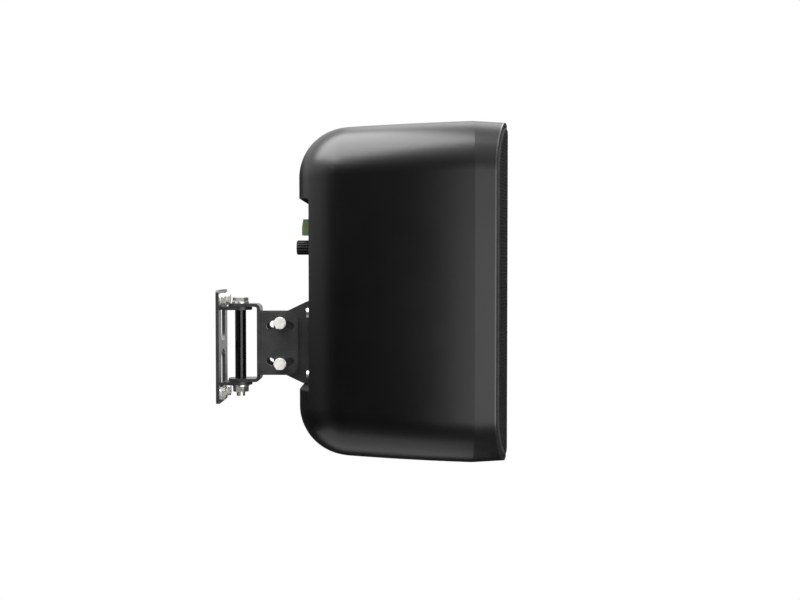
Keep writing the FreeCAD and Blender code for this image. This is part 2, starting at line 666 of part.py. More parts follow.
def pan_pivot():
    """The bolt through all four lugs, with its washers, spacer and nut."""
    head = hexagon("pivot_hex", "pivot_flats", "pivot_head", ("pivot_reach", "0", f"{PIVOT_TOP} + pivot_washer_thick"))
    foot = f"({PIVOT_FOOT} + pivot_nut_thick + pivot_tail)"
    reach = f"{foot} + {PIVOT_TOP} + pivot_washer_thick"
    shank = rod("pivot_shank", "pivot_bolt / 2", reach, ("pivot_reach", "0", f"-{foot}"))
    bolt = fuse("pivot_bolt", [head, shank])
    washers = [
        ring(f"pivot_washer_{word}", "pivot_washer / 2", PIVOT_HOLE, "pivot_washer_thick", ("pivot_reach", "0", z))
        for word, z in (("top", PIVOT_TOP), ("bottom", f"-{PIVOT_FOOT}"))
    ]
    spacer_low = f"{SWIVEL_LOW} + swivel_thick + pan_gap"
    spacer_length = f"lug_face - plate_thick - ({spacer_low})"
    spacer = ring("pivot_spacer", "spacer_outer / 2", PIVOT_HOLE, spacer_length, ("pivot_reach", "0", spacer_low))
    nut_low = ("pivot_reach", "0", f"-{PIVOT_FOOT} - pivot_nut_thick")
    nut_blank = hexagon("pivot_nut_blank", "pivot_flats", "pivot_nut_thick", nut_low)
    nut_bore = rod("pivot_nut_bore", PIVOT_HOLE, "pivot_nut_thick", nut_low)
    nut = cut("pivot_nut", nut_blank, [nut_bore])
    return [bolt, group("pivot_washers", washers), spacer, nut]


# Swivel bracket and tilt joint

ARM_INNER = "(ear_spread / 2 - swivel_thick - tilt_gap - arm_thick)"
ARM_MIDDLE = f"({ARM_INNER} + arm_thick / 2)"
EAR_OUTER = "(ear_spread / 2 + tilt_gap)"


def curved_slot(name, side):
    """A cutter for one curved slot through both ears, above (side 1) or below (side -1) the tilt axis."""
    start = 90 * side - value("tilt_half_angle")
    sector_turn = TO_NEAR.multiply(FreeCAD.Rotation(FreeCAD.Vector(0, 0, 1), start))
    far_side = (TILT_X, "ear_spread", "tilt_rise")
    sector = rod(f"{name}_sector", "tilt_radius + tilt_slot / 2", "2 * ear_spread", far_side, sector_turn)
    bind(sector, Angle="2 * tilt_half_angle")
    core = rod(f"{name}_core", "tilt_radius - tilt_slot / 2", "2 * ear_spread", far_side, TO_NEAR)
    ends = []
    for number, way in enumerate((-1, 1)):
        angle = f"({90 * side} + {way} * tilt_half_angle)"
        at = (f"{TILT_X} + tilt_radius * cos({angle})", "ear_spread", f"tilt_rise + tilt_radius * sin({angle})")
        ends.append(rod(f"{name}_end_{number}", "tilt_slot / 2", "2 * ear_spread", at, TO_NEAR))
    return fuse(name, [cut(f"{name}_band", sector, [core])] + ends)


def swivel_bracket():
    """One folded sheet: a web, two lugs that turn on the pivot and two ears with curved slots."""
    body = new_body("swivel_sheet", ("0", "0", "0"))
    ear_low = "tilt_rise - ear_height / 2"
    web = ("swivel_thick", "ear_spread", "ear_height")
    add_block(body, "swivel_web", web, ("web_reach", "-ear_spread / 2", ear_low))
    strip = ("swivel_thick", "2 * swivel_lug_round", f"{SWIVEL_HIGH} + swivel_thick - {SWIVEL_LOW}")
    add_block(body, "swivel_strip", strip, ("web_reach", "-swivel_lug_round", SWIVEL_LOW))
    lug_end = "(pivot_reach - swivel_lug_round)"
    lug = (f"web_reach + swivel_thick - {lug_end}", "2 * swivel_lug_round", "swivel_thick")
    for word, low in (("upper", SWIVEL_HIGH), ("lower", SWIVEL_LOW)):
        add_block(body, f"swivel_{word}_lug", lug, (lug_end, "-swivel_lug_round", low))
    ear = ("ear_length", "swivel_thick", "ear_height")
    for word, y in (("near", "-ear_spread / 2"), ("far", "ear_spread / 2 - swivel_thick")):
        add_block(body, f"swivel_{word}_ear", ear, ("web_reach", y, ear_low))
    rounded(
        body,
        "ear_corners",
        "ear_corner",
        lambda edge: straight_along(edge, 1) and near(edge.CenterOfMass.x, "web_reach + ear_length"),
    )
    rounded(
        body,
        "swivel_lug_ends",
        "swivel_lug_round - edge_land",
        lambda edge: straight_along(edge, 2) and near(edge.CenterOfMass.x, lug_end),
    )
    rounded(
        body,
        "ear_bends_inside",
        "bend_inner",
        lambda edge: straight_along(edge, 2)
        and near(edge.CenterOfMass.x, "web_reach + swivel_thick")
        and near(abs(edge.CenterOfMass.y), "ear_spread / 2 - swivel_thick"),
    )
    rounded(
        body,
        "ear_bends_outside",
        "bend_inner + swivel_thick",
        lambda edge: straight_along(edge, 2)
        and near(edge.CenterOfMass.x, "web_reach")
        and near(abs(edge.CenterOfMass.y), "ear_spread / 2"),
    )
    rounded(
        body,
        "swivel_lug_bends_inside",
        "bend_inner",
        lambda edge: straight_along(edge, 1)
        and near(edge.CenterOfMass.x, "web_reach")
        and near(edge.CenterOfMass.z, SWIVEL_HIGH, f"{SWIVEL_LOW} + swivel_thick"),
    )
    rounded(
        body,
        "swivel_lug_bends_outside",
        "bend_inner + swivel_thick",
        lambda edge: straight_along(edge, 1)
        and near(edge.CenterOfMass.x, "web_reach + swivel_thick")
        and near(edge.CenterOfMass.z, f"{SWIVEL_HIGH} + swivel_thick", SWIVEL_LOW),
    )
    low = f"{SWIVEL_LOW} - swivel_thick"
    span = f"{SWIVEL_HIGH} - {SWIVEL_LOW} + 3 * swivel_thick"
    cut_rod(body, "swivel_pivot_hole", PIVOT_HOLE, span, ("pivot_reach", "0", low), UPRIGHT)
    return cut("swivel_bracket", body, [curved_slot("upper_slot", 1), curved_slot("lower_slot", -1)])


def speaker_bracket(name, side):
    """A flared arm inside one swivel ear, bent out to a flange on the cabinet's recess face."""
    body = new_body(name, (TILT_X, f"{side} * {ARM_MIDDLE}", "tilt_rise"))
    run_down = "(arm_down - arm_nose) * (arm_flare + arm_back) / (arm_up - arm_nose) - arm_back"
    outline = [
        ("-arm_back", "-arm_nose"),
        (run_down, "-arm_down"),
        ("arm_reach", "-arm_down"),
        ("arm_reach", "arm_up"),
        ("arm_flare", "arm_up"),
        ("-arm_back", "arm_nose"),
    ]
    padded(body, f"{name}_arm", "XZ_Plane", outline, "arm_thick")
    rounded(
        body,
        f"{name}_nose",
        "arm_nose_corner",
        lambda edge: straight_along(edge, 1) and near(edge.CenterOfMass.x, "-arm_back"),
    )
    width = f"(flange_spread / 2 - {ARM_INNER})"
    low = "-arm_thick / 2" if side > 0 else f"arm_thick / 2 - {width}"
    add_block(
        body,
        f"{name}_flange",
        ("arm_thick", width, "arm_up + arm_down"),
        ("arm_reach - arm_thick", low, "-arm_down"),
    )
    rounded(
        body,
        f"{name}_bend_inside",
        "bend_inner",
        lambda edge: straight_along(edge, 2)
        and near(edge.CenterOfMass.x, "arm_reach - arm_thick")
        and near(edge.CenterOfMass.y, f"{side} * arm_thick / 2"),
    )
    rounded(
        body,
        f"{name}_bend_outside",
        "bend_inner + arm_thick",
        lambda edge: straight_along(edge, 2)
        and near(edge.CenterOfMass.x, "arm_reach")
        and near(edge.CenterOfMass.y, f"{-side} * arm_thick / 2"),
    )
    for word, way in (("upper", 1), ("lower", -1)):
        bolt_at = ("0", "-arm_thick", f"{way} * tilt_radius")
        screw_at = (
            "arm_reach - 2 * arm_thick",
            f"{side} * (bracket_pitch_y / 2 - {ARM_MIDDLE})",
            f"{way} * bracket_pitch_z / 2",
        )
        bolt_hole = "tilt_bolt / 2 + joint_clearance"
        cut_rod(body, f"{name}_{word}_bolt_hole", bolt_hole, "2 * arm_thick", bolt_at, TO_Y)
        cut_rod(body, f"{name}_{word}_screw_hole", "bracket_hole / 2", "3 * arm_thick", screw_at, TO_X)
    return body


def tilt_fasteners():
    """Bolts through the curved slots, with washers outside the ears and nuts inside the arms."""
    bolts = []
    washers = []
    nuts = []
    inner_end = f"({ARM_INNER} - tilt_nut_thick)"
    for word, side, turn in (("near", -1, TO_NEAR), ("far", 1, TO_Y)):
        for level, way in (("upper", 1), ("lower", -1)):
            name = f"tilt_{word}_{level}"
            z = f"tilt_rise + {way} * tilt_radius"
            seat = (TILT_X, f"{side} * {EAR_OUTER}", z)
            head_at = (TILT_X, f"{side} * ({EAR_OUTER} + tilt_washer_thick)", z)
            end_at = (TILT_X, f"{side} * {inner_end}", z)
            length = f"{EAR_OUTER} + tilt_washer_thick - {inner_end}"
            hole = "tilt_bolt / 2 + joint_clearance"
            head = hexagon(f"{name}_head", "tilt_flats", "tilt_head", head_at, turn)
            shank = rod(f"{name}_shank", "tilt_bolt / 2", length, end_at, turn)
            bolts.append(fuse(f"{name}_bolt", [head, shank]))
            washers.append(ring(f"{name}_washer", "tilt_washer / 2", hole, "tilt_washer_thick", seat, turn))
            blank = hexagon(f"{name}_nut_blank", "tilt_flats", "tilt_nut_thick", end_at, turn)
            bore = rod(f"{name}_nut_bore", hole, "tilt_nut_thick", end_at, turn)
            nuts.append(cut(f"{name}_nut", blank, [bore]))
    return [group("tilt_bolts", bolts), group("tilt_washers", washers), group("tilt_nuts", nuts)]


def bracket_fixings():
    """Screws through the flanges into threaded inserts in the cabinet."""
    screws = []
    inserts = []
    for number, (y, z_offset) in enumerate(four_places("bracket_pitch_y", "bracket_pitch_z")):
        z = f"tilt_rise + {z_offset}"
        seat = (f"{RECESS_X} - arm_thick", y, z)
        screws.append(
            screw(
                f"bracket_screw_{number}",
                "bracket_screw_head",
                "bracket_screw_rise",
                "bracket_screw",
                "bracket_screw_length",
                seat,
                TO_X,
            )
        )
        bore = "bracket_screw / 2 + joint_clearance"
        at = (RECESS_X, y, z)
        inserts.append(ring(f"bracket_insert_{number}", "insert_outer / 2", bore, "insert_length", at, TO_X))
    return [group("bracket_screws", screws), group("bracket_inserts", inserts)]


# Rear cabinet moulding

CORNER_Y = "(cabinet_width / 2 - corner_screw_in_y)"
CORNER_Z = "(cabinet_height / 2 - corner_screw_in_z)"
SIDE_Y = "(cabinet_width / 2 - side_screw_in)"
PORT_Y = "(cabinet_width / 2 - port_in)"
SCREW_POSTS = [
    (CORNER_Y, CORNER_Z, 45),
    (f"-{CORNER_Y}", CORNER_Z, 135),
    (f"-{CORNER_Y}", f"-{CORNER_Z}", 225),
    (CORNER_Y, f"-{CORNER_Z}", 315),
    (SIDE_Y, "0", 0),
    (f"-{SIDE_Y}", "0", 180),
]
POST_END = f"({SEAM_X} - tongue_length - joint_clearance)"
BOARD_X = f"({INNER_X} + board_stand)"
BOARD_SCREWS = four_places("board_width - 2 * board_inset", "board_height - 2 * board_inset")
FOOT_SCREW_Y = "(core_width / 2 + strap_thick + strap_foot / 2)"
PANEL_SCREWS = four_places("panel_width - 2 * panel_screw_inset", "panel_height - 2 * panel_screw_inset")


# The back corners may at most meet in the middle of the back.
BACK_ROOM = "(cabinet_bow ^ 2 - cabinet_depth ^ 2 - (cabinet_bow - cabinet_width / 2) ^ 2)"
BACK_LIMIT = f"({BACK_ROOM} / (cabinet_bow - cabinet_depth) / 2 - edge_land)"
BACK_ROUND = f"min(cabinet_back_round; {BACK_LIMIT})"


def cabinet_form(name, inset):
    """The rear moulding's form, drawn in by an inset. It gives the outside and the space inside."""
    body = new_body(name, (SEAM_X, "0", CABINET_Z))
    depth = f"(cabinet_depth - {inset})"
    side = f"(cabinet_width / 2 - {inset})"
    top = f"(cabinet_height / 2 - {inset})"
    bow = f"(cabinet_bow - {inset})"
    back = f"({side} - {bow} + sqrt({bow} ^ 2 - {depth} ^ 2))"
    plan = [
        ("0", f"-{side}", bow, -1),
        ("0", side),
        (f"-{depth}", back, bow, -1),
        (f"-{depth}", f"-{back}"),
    ]
    padded(body, f"{name}_plan", "XY_Plane", plan, f"2 * {top}")
    far = f"({depth} + edge_land)"
    above = f"({top} + cabinet_wall)"
    for lid, way in (("top", 1), ("bottom", -1)):
        above_draft = [
            ("0", f"{way} * {top}"),
            ("0", f"{way} * {above}"),
            (f"-{far}", f"{way} * {above}"),
            (f"-{far}", f"{way} * ({top} - {far} * tan(cabinet_draft))"),
        ]
        pocketed(body, f"{name}_{lid}", "XZ_Plane", above_draft, "cabinet_width + edge_land")
    rounded(
        body,
        f"{name}_back",
        f"{BACK_ROUND} - {inset}",
        lambda edge: straight_along(edge, 2) and near(edge.CenterOfMass.x, f"-{depth}"),
    )
    doc.recompute()
    lids = [face for face in body.Tip.Shape.Faces if abs(face.normalAt(0, 0).z) > 0.9]
    rims = [edge for face in lids for edge in face.Edges if edge.BoundBox.XMin < -value("edge_land")]
    rounded(
        body,
        f"{name}_corners",
        f"cabinet_round - {inset}",
        lambda edge: any(edge.isSame(rim) for rim in rims),
    )
    cut_channel(body, f"{name}_channel", inset)
    return body


def cut_channel(body, name, inset):
    """The recess across the back, with rounded inner corners and softened outer edges."""
    mouth = "(-cabinet_depth - edge_land)"
    floor = f"(channel_depth + {inset} - cabinet_depth)"
    top = f"(channel_up - cabinet_rise + {inset})"
    low = f"(-channel_down - cabinet_rise - {inset})"
    upper = f"(channel_round + {inset})"
    foot = f"(channel_foot_round + {inset})"
    outline = [
        (mouth, f"{low} - channel_lip"),
        (f"{mouth} + channel_lip", low, "channel_lip", 1),
        (f"{floor} - {foot}", low),
        (floor, f"{low} + {foot}", foot, -1),
        (floor, f"{top} - {upper}"),
        (f"{floor} - {upper}", top, upper, -1),
        (f"{mouth} + channel_lip", top),
        (mouth, f"{top} + channel_lip", "channel_lip", 1),
        (f"{mouth} - channel_lip", f"{top} + channel_lip"),
        (f"{mouth} - channel_lip", f"{low} - channel_lip"),
    ]
    pocketed(body, name, "XZ_Plane", outline, "cabinet_width")


def cabinet_posts():
    """Screw posts with ribs to the wall, bosses for the threaded inserts and posts for the board."""
    pieces = []
    for number, (y, z, angle) in enumerate(SCREW_POSTS):
        start = f"{POST_END} - baffle_boss_length"
        at = (start, y, f"{CABINET_Z} + {z}")
        pieces.append(rod(f"screw_post_{number}", "baffle_boss / 2", "baffle_boss_length", at, TO_X))
        turn = FreeCAD.Rotation(FreeCAD.Vector(1, 0, 0), angle)
        corner = (
            start,
            f"{y} + rib_thick / 2 * sin({angle})",
            f"{CABINET_Z} + {z} - rib_thick / 2 * cos({angle})",
        )
        rib = ("baffle_boss_length", "2 * baffle_boss", "rib_thick")
        pieces.append(block(f"screw_rib_{number}", rib, corner, turn))
    inside_wall = f"{INNER_X} - cabinet_wall / 2"
    for number, (y, z) in enumerate(four_places("bracket_pitch_y", "bracket_pitch_z")):
        at = (inside_wall, y, f"tilt_rise + {z}")
        pieces.append(rod(f"insert_post_{number}", "insert_boss / 2", "insert_length", at, TO_X))
    for number, (y, z) in enumerate(BOARD_SCREWS):
        at = (inside_wall, y, f"{BOARD_Z} + {z}")
        length = "board_stand + cabinet_wall / 2"
        pieces.append(rod(f"board_post_{number}", "board_post / 2", length, at, TO_X))
    return fuse("cabinet_posts", pieces)


def cabinet_cutters():
    """Holes for the inserts and screws, the input panel's seat and opening, and the gasket's seat."""
    tools = [moulding("gasket_seat", "(cabinet_wall - gasket_width)", f"{SEAM_X} - gasket_thick", "gasket_thick")]
    for number, (y, z) in enumerate(four_places("bracket_pitch_y", "bracket_pitch_z")):
        at = (RECESS_X, y, f"tilt_rise + {z}")
        tools.append(rod(f"insert_hole_{number}", "insert_outer / 2 + shaft_clearance", "insert_length", at, TO_X))
    pilot = "small_screw / 2 + shaft_clearance"
    for number, (y, z) in enumerate(BOARD_SCREWS):
        at = (f"{BOARD_X} - small_screw_length", y, f"{BOARD_Z} + {z}")
        tools.append(rod(f"board_pilot_{number}", pilot, "small_screw_length", at, TO_X))
    for number, side in enumerate((-1, 1)):
        depth = "(foot_screw_length - strap_thick)"
        at = (f"{INNER_X} - {depth}", f"{side} * {FOOT_SCREW_Y}", "tilt_rise")
        tools.append(rod(f"foot_pilot_{number}", pilot, depth, at, TO_X))
    for number, (y, z, angle) in enumerate(SCREW_POSTS):
        at = (f"{BAFFLE_X} - baffle_screw_length", y, f"{CABINET_Z} + {z}")
        tools.append(rod(f"post_pilot_{number}", "baffle_screw / 2 + shaft_clearance", "baffle_screw_length", at, TO_X))
    for number, (y, z) in enumerate(PANEL_SCREWS):
        at = (RECESS_X, y, f"{PANEL_Z} + {z}")
        tools.append(rod(f"panel_pilot_{number}", "panel_screw / 2 + shaft_clearance", "cabinet_wall", at, TO_X))
    seat = ("panel_thick", "panel_width + 2 * joint_clearance", "panel_height + 2 * joint_clearance")
    seat_low = f"{PANEL_Z} - panel_height / 2 - joint_clearance"
    tools.append(block("panel_seat", seat, (RECESS_X, "-panel_width / 2 - joint_clearance", seat_low)))
    opening = ("cabinet_wall", "panel_width - 2 * panel_ledge", "panel_height - 2 * panel_ledge")
    opening_low = f"{PANEL_Z} - panel_height / 2 + panel_ledge"
    tools.append(block("panel_opening", opening, (RECESS_X, "panel_ledge - panel_width / 2", opening_low)))
    return tools


def moulding(name, inset, start, length, taper="0"):
    """A block with the mouldings' rounded outline, drawn in by an inset."""
    body = new_body(name, (start, "0", CABINET_Z))
    width = f"cabinet_width - 2 * {inset}"
    height = f"cabinet_height - 2 * {inset}"
    add_wedge(body, f"{name}_block", width, height, length, taper, FORWARD)
    rounded(body, f"{name}_corners", f"cabinet_round - {inset}", lambda edge: straight_along(edge, 0))
    return body


def rear_cabinet():
    outside = cabinet_form("cabinet_outside", "0")
    shell = cut("cabinet_shell", outside, [cabinet_form("cabinet_inside", "cabinet_wall")])
    posts = common("cabinet_inner_posts", cabinet_posts(), outside)
    return cut("rear_cabinet", fuse("cabinet_whole", [shell, posts]), cabinet_cutters())


def cabinet_gasket():
    outer = moulding("gasket_outline", "(cabinet_wall - gasket_width)", f"{SEAM_X} - gasket_thick", "gasket_thick")
    inner = moulding("gasket_inline", "cabinet_wall", f"{SEAM_X} - gasket_thick", "gasket_thick")
    return cut("cabinet_gasket", outer, [inner])


# Front moulding and grille

TONGUE = "(cabinet_wall + tongue_length * tan(cabinet_draft) + joint_clearance)"
GRILLE_INSET = "(bezel_wall + grille_gap)"


def crown(name, inset):
    """An upright drum whose front is the grille's curve, drawn in by an inset."""
    at = (f"{CROWN_X} - crown_radius", "0", f"{CABINET_Z} - cabinet_height")
    return rod(name, f"crown_radius - ({inset})", "2 * cabinet_height", at)


def front_baffle():
    """Bezel and baffle in one moulding, with a tongue that enters the rear cabinet."""
    blank = moulding("bezel_blank", "0", SEAM_X, "crown_reach", "bezel_draft")
    outside = common("bezel_outside", blank, crown("bezel_crown", "grille_proud"))
    recess = moulding("bezel_recess", "bezel_wall", BAFFLE_X, "crown_reach", "bezel_draft")
    bezel = cut("bezel", outside, [recess])
    length = "tongue_length + baffle_thick / 2"
    tongue_outer = moulding("tongue_outer", TONGUE, f"{SEAM_X} - tongue_length", length)
    tongue_inner = moulding("tongue_inner", f"({TONGUE} + tongue_thick)", f"{SEAM_X} - tongue_length", "tongue_length")
    pieces = [bezel, cut("tongue", tongue_outer, [tongue_inner])]
    tools = []
    for number, (y, z, angle) in enumerate(SCREW_POSTS):
        at = (f"{SEAM_X} - tongue_length", y, f"{CABINET_Z} + {z}")
        pieces.append(rod(f"screw_sleeve_{number}", "baffle_boss / 2", length, at, TO_X))
        hole = "baffle_screw / 2 + joint_clearance"
        tools.append(rod(f"sleeve_hole_{number}", hole, "tongue_length + baffle_thick", at, TO_X))
    through = "tongue_length + baffle_thick"
    start = f"{SEAM_X} - tongue_length"
    tools.append(rod("woofer_cutout", "woofer_hole", through, (start, "0", WOOFER_Z), TO_X))
    tools.append(rod("tweeter_cutout", "tweeter_hole", through, (start, "0", TWEETER_Z), TO_X))
    for number, side in enumerate((-1, 1)):
        at = (start, f"{side} * {PORT_Y}", f"{CABINET_Z} + port_rise")
        tools.append(rod(f"port_cutout_{number}", PORT_HOLE, through, at, TO_X))
    pilot = "driver_screw / 2 + shaft_clearance"
    for name, y, z in driver_screw_places():
        at = (f"{BAFFLE_X} - driver_screw_length", y, z)
        tools.append(rod(f"{name}_pilot", pilot, "driver_screw_length", at, TO_X))
    return cut("front_baffle", fuse("front_whole", pieces), tools)


def baffle_screws():
    screws = []
    for number, (y, z, angle) in enumerate(SCREW_POSTS):
        screws.append(
            screw(
                f"baffle_screw_{number}",
                "baffle_screw_head",
                "baffle_screw_rise",
                "baffle_screw",
                "baffle_screw_length",
                (BAFFLE_X, y, f"{CABINET_Z} + {z}"),
                TO_BACK,
            )
        )
    return group("baffle_screws", screws)


def mesh_places():
    """Staggered places for the grille's openings, inside its rounded outline."""
    margin = value(f"{GRILLE_INSET} + grille_edge + mesh_opening / sqrt(3)")
    reach_y = value("cabinet_width / 2") - margin
    reach_z = value("cabinet_height / 2") - margin
    corner = max(value("cabinet_round") - margin, 0)
    columns = int(2 * reach_y // value("mesh_pitch"))
    rows = int(reach_z // value("mesh_row"))
    places = []
    for row in range(-rows, rows + 1):
        for column in range(-columns, columns + 1):
            past_y = max(abs(column) * value("mesh_pitch / 2") - reach_y + corner, 0)
            past_z = max(abs(row) * value("mesh_row") - reach_z + corner, 0)
            if (row + column) % 2 == 0 and math.hypot(past_y, past_z) <= corner:
                places.append((f"{column} * mesh_pitch / 2", f"{CABINET_Z} + {row} * mesh_row"))
    return places


def grille():
    """A curved sheet with a folded edge and a staggered field of hexagonal openings."""
    sheet_block = moulding("grille_outline", GRILLE_INSET, BAFFLE_X, "crown_reach", "bezel_draft")
    inner_inset = f"({GRILLE_INSET} + grille_thick)"
    hollow_block = moulding("grille_inline", inner_inset, BAFFLE_X, "crown_reach", "bezel_draft")
    sheet_form = common("grille_form", sheet_block, crown("grille_crown", "0"))
    hollow = common("grille_hollow", hollow_block, crown("grille_inner_crown", "grille_thick"))
    tools = [hollow, crown("grille_return_crown", "grille_return")]
    for number, (y, z) in enumerate(mesh_places()):
        tools.append(hexagon(f"mesh_{number}", "mesh_opening", "crown_reach", (BAFFLE_X, y, z), TO_X))
    return cut("grille", sheet_form, tools)


# Reflex ports

PORT_OUTER = "(port_bore / 2 + port_wall)"
PORT_HOLE = f"{PORT_OUTER} + joint_clearance"


def port_tubes():
    """Two tubes that flare into lips on the baffle's face."""
    bore = "port_bore / 2"
    outline = [
        (PORT_OUTER, "0"),
        (PORT_OUTER, "-port_length"),
        (bore, "-port_length"),
        (bore, "port_lip_thick - port_flare"),
        (f"{bore} + port_flare", "port_lip_thick", "port_flare", 1),
        ("port_lip / 2", "port_lip_thick"),
        ("port_lip / 2", "0"),
    ]
    height = f"{CABINET_Z} + port_rise"
    tubes = [
        turned(f"port_tube_{word}", outline, (BAFFLE_X, f"{side} * {PORT_Y}", height))
        for word, side in (("near", -1), ("far", 1))
    ]
    return group("port_tubes", tubes)


# Driver screws


def driver_screw_places():
    """Name, Y and Z of each screw through the drivers' flanges."""
    places = []
    for word, count, circle, height in (
        ("woofer_screw", 8, "woofer_screw_circle", WOOFER_Z),
        ("tweeter_screw", 4, "tweeter_screw_circle", TWEETER_Z),
    ):
        for number in range(count):
            angle = 360 / count * (number + 0.5)
            y = f"{circle} * cos({angle})"
            z = f"{height} + {circle} * sin({angle})"
            places.append((f"{word}_{number}", y, z))
    return places


def driver_screws(word, flange):
    """The screws of one driver, seated on its flange."""
    head = "driver_screw_head"
    rise = "driver_screw_rise"
    length = f"driver_screw_length + {flange}"
    screws = []
    for name, y, z in driver_screw_places():
        if name.startswith(word):
            seat = (f"{BAFFLE_X} + {flange}", y, z)
            screws.append(screw(name, head, rise, "driver_screw", length, seat, TO_BACK))
    return group(f"{word}s", screws)


def flange_holes(body, word, flange):
    """Clearance holes for one driver's screws, in the body's own frame: its X points down and its Y across."""
    height = WOOFER_Z if word == "woofer_screw" else TWEETER_Z
    for name, y, z in driver_screw_places():
        if name.startswith(word):
            at = (f"{height} - ({z})", y, "0")
            cut_rod(body, f"{name}_hole", "driver_screw / 2 + joint_clearance", flange, at, UPRIGHT)


# Woofer, from the baffle's face along its own axis

FORMER = "(coil_radius + coil_former)"
CONE_NECK = "(cone_edge - cone_depth)"
CONE_SLOPE = f"(cone_depth / (cone_radius - {FORMER}))"
CAP_SEAT = f"(cone_edge - (cone_radius - cap_radius) * {CONE_SLOPE} + joint_clearance)"
SURROUND_INNER = "(cone_radius + cone_gap)"
ROLL_MIDDLE = f"({SURROUND_INNER} + roll_radius + roll_thick)"
SURROUND_OUTER = f"({ROLL_MIDDLE} + roll_radius + roll_lip)"
PLATE_BACK = "(basket_depth + top_plate_thick)"
MAGNET_BACK = f"({PLATE_BACK} + magnet_thick)"


def woofer(name, outline):
    return turned(name, outline, (BAFFLE_X, "0", WOOFER_Z))


def woofer_basket():
    """A cast frame: flange, open cone with six windows, a ledge for the spider and a flat back."""
    ledge = "(spider_radius - spider_ledge)"
    floor = "(basket_wall - basket_depth)"
    shelf = "(spider_radius + joint_clearance)"
    body = woofer(
        "woofer_basket",
        [
            ("woofer_flange", "0"),
            ("woofer_flange", "woofer_flange_thick"),
            ("woofer_seat", "woofer_flange_thick"),
            (shelf, "-spider_depth + 2 * basket_wall"),
            (shelf, "-spider_depth"),
            (ledge, "-spider_depth"),
            (ledge, floor),
            ("basket_bore", floor),
            ("basket_bore", "-basket_depth"),
            ("basket_base", "-basket_depth"),
            ("basket_base", "-spider_depth"),
            ("woofer_hole - cone_gap", "0"),
        ],
    )
    sketch = sketch_on(body, "XZ_Plane", "basket_window_outline")
    top = "-basket_wall"
    low = "2 * basket_wall - spider_depth"
    inner = "(spider_radius - spider_ledge)"
    draw(sketch, [(inner, low), ("woofer_flange", low), ("woofer_flange", top), (inner, top)])
    window = body.newObject("PartDesign::Pocket", "basket_window_cut")
    window.Profile = sketch
    window.Midplane = True
    bind(window, Length="basket_window")
    pattern = body.newObject("PartDesign::PolarPattern", "basket_windows")
    pattern.Originals = [window]
    pattern.Axis = (origin_plane(body, "Z_Axis"), [""])
    pattern.Angle = 360
    pattern.Occurrences = 6
    body.Tip = pattern
    flange_holes(body, "woofer_screw", "woofer_flange_thick")
    return body


def woofer_suspension():
    """Front gasket, half-roll surround and waved spider."""
    face = "woofer_flange_thick"
    top = f"({face} + roll_thick)"
    gasket_inner = f"{SURROUND_OUTER} - gasket_ring"
    gasket = woofer(
        "woofer_gasket",
        [
            (gasket_inner, top),
            (SURROUND_OUTER, top),
            (SURROUND_OUTER, f"{top} + gasket_ring_thick"),
            (gasket_inner, f"{top} + gasket_ring_thick"),
        ],
    )
    inner_roll = "(roll_radius - roll_thick)"
    surround = woofer(
        "woofer_surround",
        [
            (SURROUND_INNER, face),
            (f"{ROLL_MIDDLE} - {inner_roll}", face),
            (ROLL_MIDDLE, f"{face} + {inner_roll}", inner_roll, 1),
            (f"{ROLL_MIDDLE} + {inner_roll}", face, inner_roll, 1),
            (SURROUND_OUTER, face),
            (SURROUND_OUTER, top),
            (f"{ROLL_MIDDLE} + roll_radius", top),
            (ROLL_MIDDLE, f"{top} + roll_radius", "roll_radius", -1),
            (f"{ROLL_MIDDLE} - roll_radius", top, "roll_radius", -1),
            (SURROUND_INNER, top),
        ],
    )
    return [gasket, surround, woofer("woofer_spider", spider_outline())]


def spider_outline():
    """The spider's section: a flat rim, three waves and a flat neck."""
    rim = "(spider_radius - spider_ledge)"
    neck = f"({FORMER} + cone_gap)"
    waves = 3
    under = [("spider_radius", "0"), (rim, "0")]
    for step in range(1, 2 * waves):
        lift = "spider_wave" if step % 2 else "0"
        under.append((f"{rim} + ({neck} - {rim}) * {step} / {2 * waves}", lift))
    under.append((neck, "0"))
    upper = [(across, f"{up} + spider_thick") for across, up in reversed(under)]
    return [(across, f"{up} - spider_depth") for across, up in under + upper]


def woofer_moving_parts():
    """Cone, dust cap and voice coil, which travel together."""
    cone = woofer(
        "woofer_cone",
        [
            ("cone_radius", "cone_edge"),
            (FORMER, CONE_NECK),
            (FORMER, f"{CONE_NECK} - cone_thick"),
            ("cone_radius", "cone_edge - cone_thick"),
        ],
    )
    seat = f"{BAFFLE_X} + {CAP_SEAT}"
    cap = dome("woofer_dust_cap", "cap_radius", "cap_rise", "cap_thick", (seat, "0", WOOFER_Z))
    foot = f"({CONE_NECK} - coil_length)"
    winding = f"({FORMER} + coil_winding)"
    coil = woofer(
        "woofer_voice_coil",
        [
            ("coil_radius", foot),
            (winding, foot),
            (winding, f"{foot} + coil_winding_length"),
            (FORMER, f"{foot} + coil_winding_length"),
            (FORMER, CONE_NECK),
            ("coil_radius", CONE_NECK),
        ],
    )
    return [cone, cap, coil]


